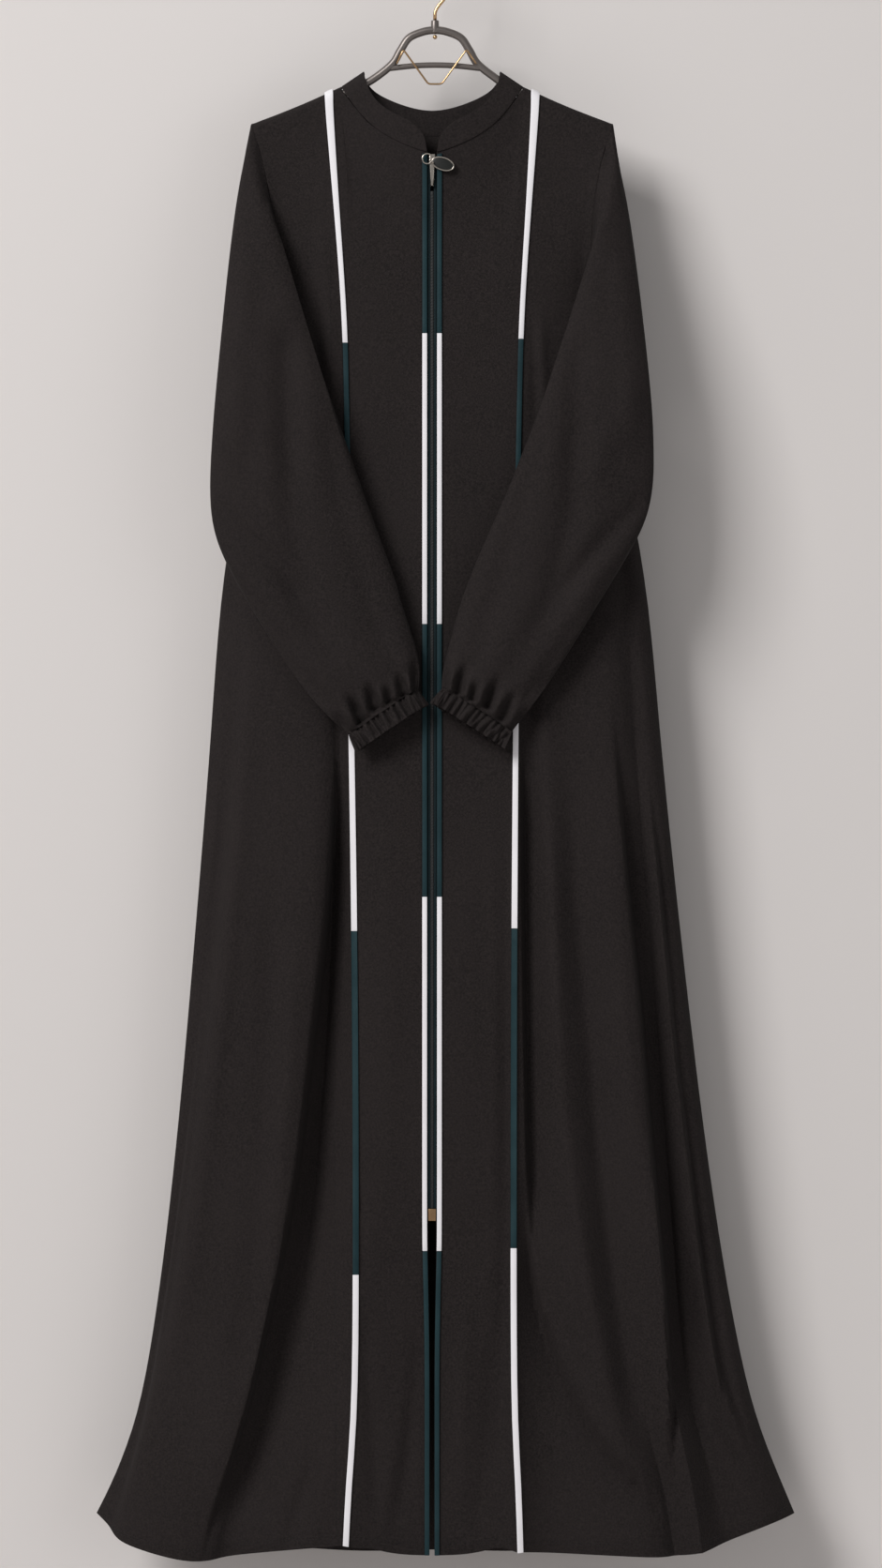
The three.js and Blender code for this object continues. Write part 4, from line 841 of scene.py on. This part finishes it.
# %% The slider and its bridge
SLIDER = {"top": 223, "middle": 240.5, "wide": 6.4, "deep": 4, "long": 33,
          "shoulder": 1.05, "taper": 0.6, "tip_depth": 0.0012, "tip": 35}
BRIDGE_TURN, BRIDGE_RADIUS = math.radians(35), 1
low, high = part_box("zip_slider")
plate_back = -high.y * 1000
plate_front = plate_back + SLIDER["deep"]
bm = bmesh.new()
block = (Matrix.Translation(mm(0, (plate_back + plate_front) / 2, SLIDER["middle"]))
         @ Matrix.Diagonal((SLIDER["wide"], SLIDER["deep"], SLIDER["long"], 1)))
bmesh.ops.create_cube(bm, size=0.001, matrix=block)
bmesh.ops.subdivide_edges(bm, edges=bm.edges, cuts=3, use_grid_fill=True)
for vert in bm.verts:
    down = (-vert.co.z * 1000 - SLIDER["top"]) / SLIDER["tip"]
    vert.co.x *= SLIDER["shoulder"] - SLIDER["taper"] * max(down, 0) ** 0.8
    if vert.co.y < -plate_front / 1000 + 1e-5:
        vert.co.y += SLIDER["tip_depth"] * down**2
bevel_sharp(bm, 0.8)


def bridge_spot(reach, fore):
    return mm(PULL["x"] + reach * math.cos(BRIDGE_TURN), fore,
              PULL["drop"] + reach * math.sin(BRIDGE_TURN))


bridge_top = -low.y * 1000 - 1
foot = plate_front - 1
bends = [(2.95, foot), (2.95, bridge_top - 0.8), (3.75, bridge_top), (6.7, bridge_top),
         (7.5, bridge_top - 0.8), (7.5, foot)]
plane = Vector((math.cos(BRIDGE_TURN), 0, -math.sin(BRIDGE_TURN)))
sweep(bm, curve_through([bridge_spot(*bend) for bend in bends], 4), BRIDGE_RADIUS, 12,
      across=plane.cross(Vector((0, 1, 0))))
bmesh.ops.recalc_face_normals(bm, faces=bm.faces)
finished(object_from(bm, "cast_slider", SILVER), ["zip_slider"])

# %% The end box
bm = quads_of("zip_end_box")
bevel_sharp(bm, 0.6)
finished(object_from(bm, "end_box", ANTIQUE), ["zip_end_box"])

# %% [markdown]
# The hanger is bent metal tube: two arms, a bar across them and a socket for the hook's rod. A
# thin wire brace is bent into a small roof on each side, and a bead stands on the rod.

# %% The hanger
MIDDLE = 3
ARM_RADIUS, BAR_RADIUS, ROD_RADIUS, BRACE_RADIUS = 4.15, 3, 1.9, 1.0
ARM = [(12, 93.5), (27, 100), (36, 113), (45, 127.5), (66, 144)]
SHOULDER = [(84, 154.5), (100, 161.3), (140, 176.2), (180, 193)]


def arm_line(sign):
    near = [mm(MIDDLE + sign * out, 0, drop) for out, drop in ARM]
    return near + [mm(sign * out, 0, drop) for out, drop in SHOULDER]


low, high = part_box("hanger_frame")
print("hanger reaches", [round(v * 1000, 1) for v in (*low, *high)])
bm = bmesh.new()
sweep(bm, curve_through([*arm_line(-1)[::-1], mm(MIDDLE, 0, 92), *arm_line(1)], 8),
      ARM_RADIUS, 20)
bar = [mm(MIDDLE + x, 0, 128.4 + (x / 47) ** 2 * 3.4) for x in (-47, -22, 0, 22, 47)]
sweep(bm, curve_through(bar, 8), BAR_RADIUS, 16)
bmesh.ops.create_cone(bm, cap_ends=True, segments=32, radius1=0.0045, radius2=0.004, depth=0.0132,
                      matrix=Matrix.Translation(mm(MIDDLE, 0, 88.4)))
bmesh.ops.recalc_face_normals(bm, faces=bm.faces)
bevel_sharp(bm, 0.7, angle=1.2)
finished(object_from(bm, "bent_hanger", TAUPE), ["hanger_frame"])

# %% The hook, brace and bead
HOOK = 28


def hook_spot(degrees):
    turn = math.radians(degrees)
    return mm(HOOK * math.cos(turn), 0, HOOK - ROD_RADIUS - HOOK * math.sin(turn))


rod = bent([mm(MIDDLE, 0, 81.4), mm(MIDDLE, 0, 71), mm(17, 0, 54), hook_spot(-25)], 6)[:-1]
rod += [hook_spot(-25 + 5 * k) for k in range(47)]
finished(swept("gold_hook", GOLD, rod, ROD_RADIUS, 18), ["hanger_hook"])

BRACE = [(-40, 128), (-33, 113), (-7, 149), (7, 149), (33, 113), (43, 128)]
low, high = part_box("hanger_brace")
brace_fore = -(low.y + high.y) * 500
line = bent([mm(MIDDLE + x, brace_fore, drop) for x, drop in BRACE], 3)
finished(swept("wire_brace", GOLD, line, BRACE_RADIUS, 12), ["hanger_brace"])
bm = bmesh.new()
bmesh.ops.create_uvsphere(bm, u_segments=24, v_segments=16, radius=0.0024,
                          matrix=Matrix.Translation(mm(MIDDLE, 0, 99)))
finished(object_from(bm, "rod_bead", GOLD), ["hanger_bead"])

# %% [markdown]
# Sewing is what makes it read as a garment. Each stitch is a small block of thread, laid
# on the finished cloth by looking along the front-to-back axis for the point where it meets the
# panel. The hem has two rows, and one row holds the neck seam and each edge of the bindings.

# %% Stitches
FRONTS = ["left_centre_front", "right_centre_front", "left_side_front", "right_side_front"]
PITCH, STITCH = 3.4, 2.3
HEM_ROWS = (10, 12.5)
BINDING_EDGE = 11.4
THREAD_WIDTH = 0.00034
# In metres. A longer stitch would reach from one panel over a gap to another, so it is left out.
LONGEST_STITCH = 0.006


def stitch_rows(name, lines, names, way=1):
    bm = bmesh.new()
    for line in lines:
        line = [Vector(p) for p in line]
        for a, b in zip(line, line[1:]):
            count = max(1, round((b - a).length / PITCH))
            for k in range(count):
                ends = [a.lerp(b, (k + s) / count) for s in (0, STITCH / PITCH)]
                spots = [sight(names, e.x, e.y, way) for e in ends]
                if None in spots:
                    continue
                (p, n), (q, _) = spots
                span = (q - p).normalized()
                if (q - p).length > LONGEST_STITCH:
                    continue
                side = n.cross(span).normalized()
                turn = Matrix((span, side, n)).transposed().to_4x4()
                size = Matrix.Diagonal(((q - p).length, THREAD_WIDTH, THREAD_WIDTH * 0.8, 1))
                place = Matrix.Translation((p + q) / 2)
                bmesh.ops.create_cube(bm, size=1, matrix=place @ turn @ size)
    return finished(object_from(bm, name, THREAD), [])


def hem_line(name, above):
    """The hem's height at every few millimetres of width, raised by above."""
    co = np.array([v.co for v in bpy.data.objects[name].data.vertices]) * 1000
    xs = np.arange(co[:, 0].min() + 6, co[:, 0].max() - 6, 7.0)
    line = []
    for x in xs:
        near = co[np.abs(co[:, 0] - x) < 8]
        line.append((x, -near[:, 2].min() - above, 0))
    return line


hems = [hem_line(name, above) for name in FRONTS for above in HEM_ROWS]
stitch_rows("front_hem_stitches", hems, FRONTS)
back_hems = [hem_line("back_panel", above) for above in HEM_ROWS]
stitch_rows("back_hem_stitches", back_hems, ["back_panel"], way=-1)
NECK = [(90, 165), (80, 178), (62, 199), (41, 214), (16, 226)]
necks = [[(sign * x, drop, 0) for x, drop in NECK] for sign in (-1, 1)]
stitch_rows("neck_stitches", necks, FRONTS)
seams = [[(sign * BINDING_EDGE, drop, 0) for drop in range(232, 1650, 60)] for sign in (-1, 1)]
stitch_rows("binding_stitches", seams, FRONTS)

# %% [markdown]
# The wall behind the garment is a pale studio backdrop that bends forward into a floor below the
# picture. One profile line is extruded sideways. It is stage, not part of the object.

# %% The backdrop
WALL_WIDTH = 8
bm = bmesh.new()
PROFILE = [(-80, -1500), (-80, 1900), (-60, 2060), (10, 2150), (130, 2190), (4000, 2200)]
profile = [mm(0, fore, drop) for fore, drop in PROFILE]
for p in profile:
    bmesh.ops.create_vert(bm, co=p - Vector((WALL_WIDTH / 2, 0, 0)))
bm.verts.ensure_lookup_table()
line = [bm.edges.new((a, b)) for a, b in zip(bm.verts[:-1], bm.verts[1:])]
grown = bmesh.ops.extrude_edge_only(bm, edges=line)["geom"]
verts = [v for v in grown if isinstance(v, bmesh.types.BMVert)]
bmesh.ops.translate(bm, vec=(WALL_WIDTH, 0, 0), verts=verts)
wall_material = bpy.data.materials.new("pale wall")
wall_material.use_nodes = True
paint = wall_material.node_tree.nodes["Principled BSDF"]
paint.inputs["Base Color"].default_value = (0.64, 0.615, 0.605, 1)
paint.inputs["Roughness"].default_value = 0.9
paint.inputs["Specular IOR Level"].default_value = 0.2
backdrop = object_from(bm, "backdrop", wall_material)

# %% [markdown]
# The light is a large soft window from the upper left, which throws the garment's soft shadow to
# the right and down the wall, with a weaker one from the right and an even pale surround.

# %% Light and camera
def lamp(name, place, aim, power, size, colour=(1, 1, 1)):
    light = bpy.data.lights.new(name, "AREA")
    light.shape, light.size, light.size_y = "RECTANGLE", size[0], size[1]
    light.energy, light.color = power, colour
    holder = bpy.data.objects.new(name, light)
    holder.location = place
    holder.rotation_euler = (aim - place).to_track_quat("-Z", "Y").to_euler()
    bpy.context.scene.collection.objects.link(holder)


centre = Vector((0, 0, -0.85))
lamp("key", Vector((-3.3, -4.2, 2.5)), centre, 330, (2.5, 2.5), (1.0, 0.985, 0.975))
lamp("fill", Vector((3.2, -4.0, -1.2)), centre, 22, (2.4, 2.6), (0.98, 0.99, 1.0))
world = bpy.data.worlds.new("surround")
world.use_nodes = True
world.node_tree.nodes["Background"].inputs["Color"].default_value = (1.0, 0.985, 0.975, 1)
world.node_tree.nodes["Background"].inputs["Strength"].default_value = 0.29
bpy.context.scene.world = world
bpy.context.scene.view_settings.view_transform = "Standard"

camera = bpy.data.cameras.new("camera")
camera.lens, camera.sensor_width, camera.sensor_fit = 109.8, 36, "AUTO"
view = bpy.data.objects.new("camera", camera)
view.location = mm(9.3, 5000, 880)
view.rotation_euler = (math.pi / 2, 0, 0)
bpy.context.scene.collection.objects.link(view)
bpy.context.scene.camera = view
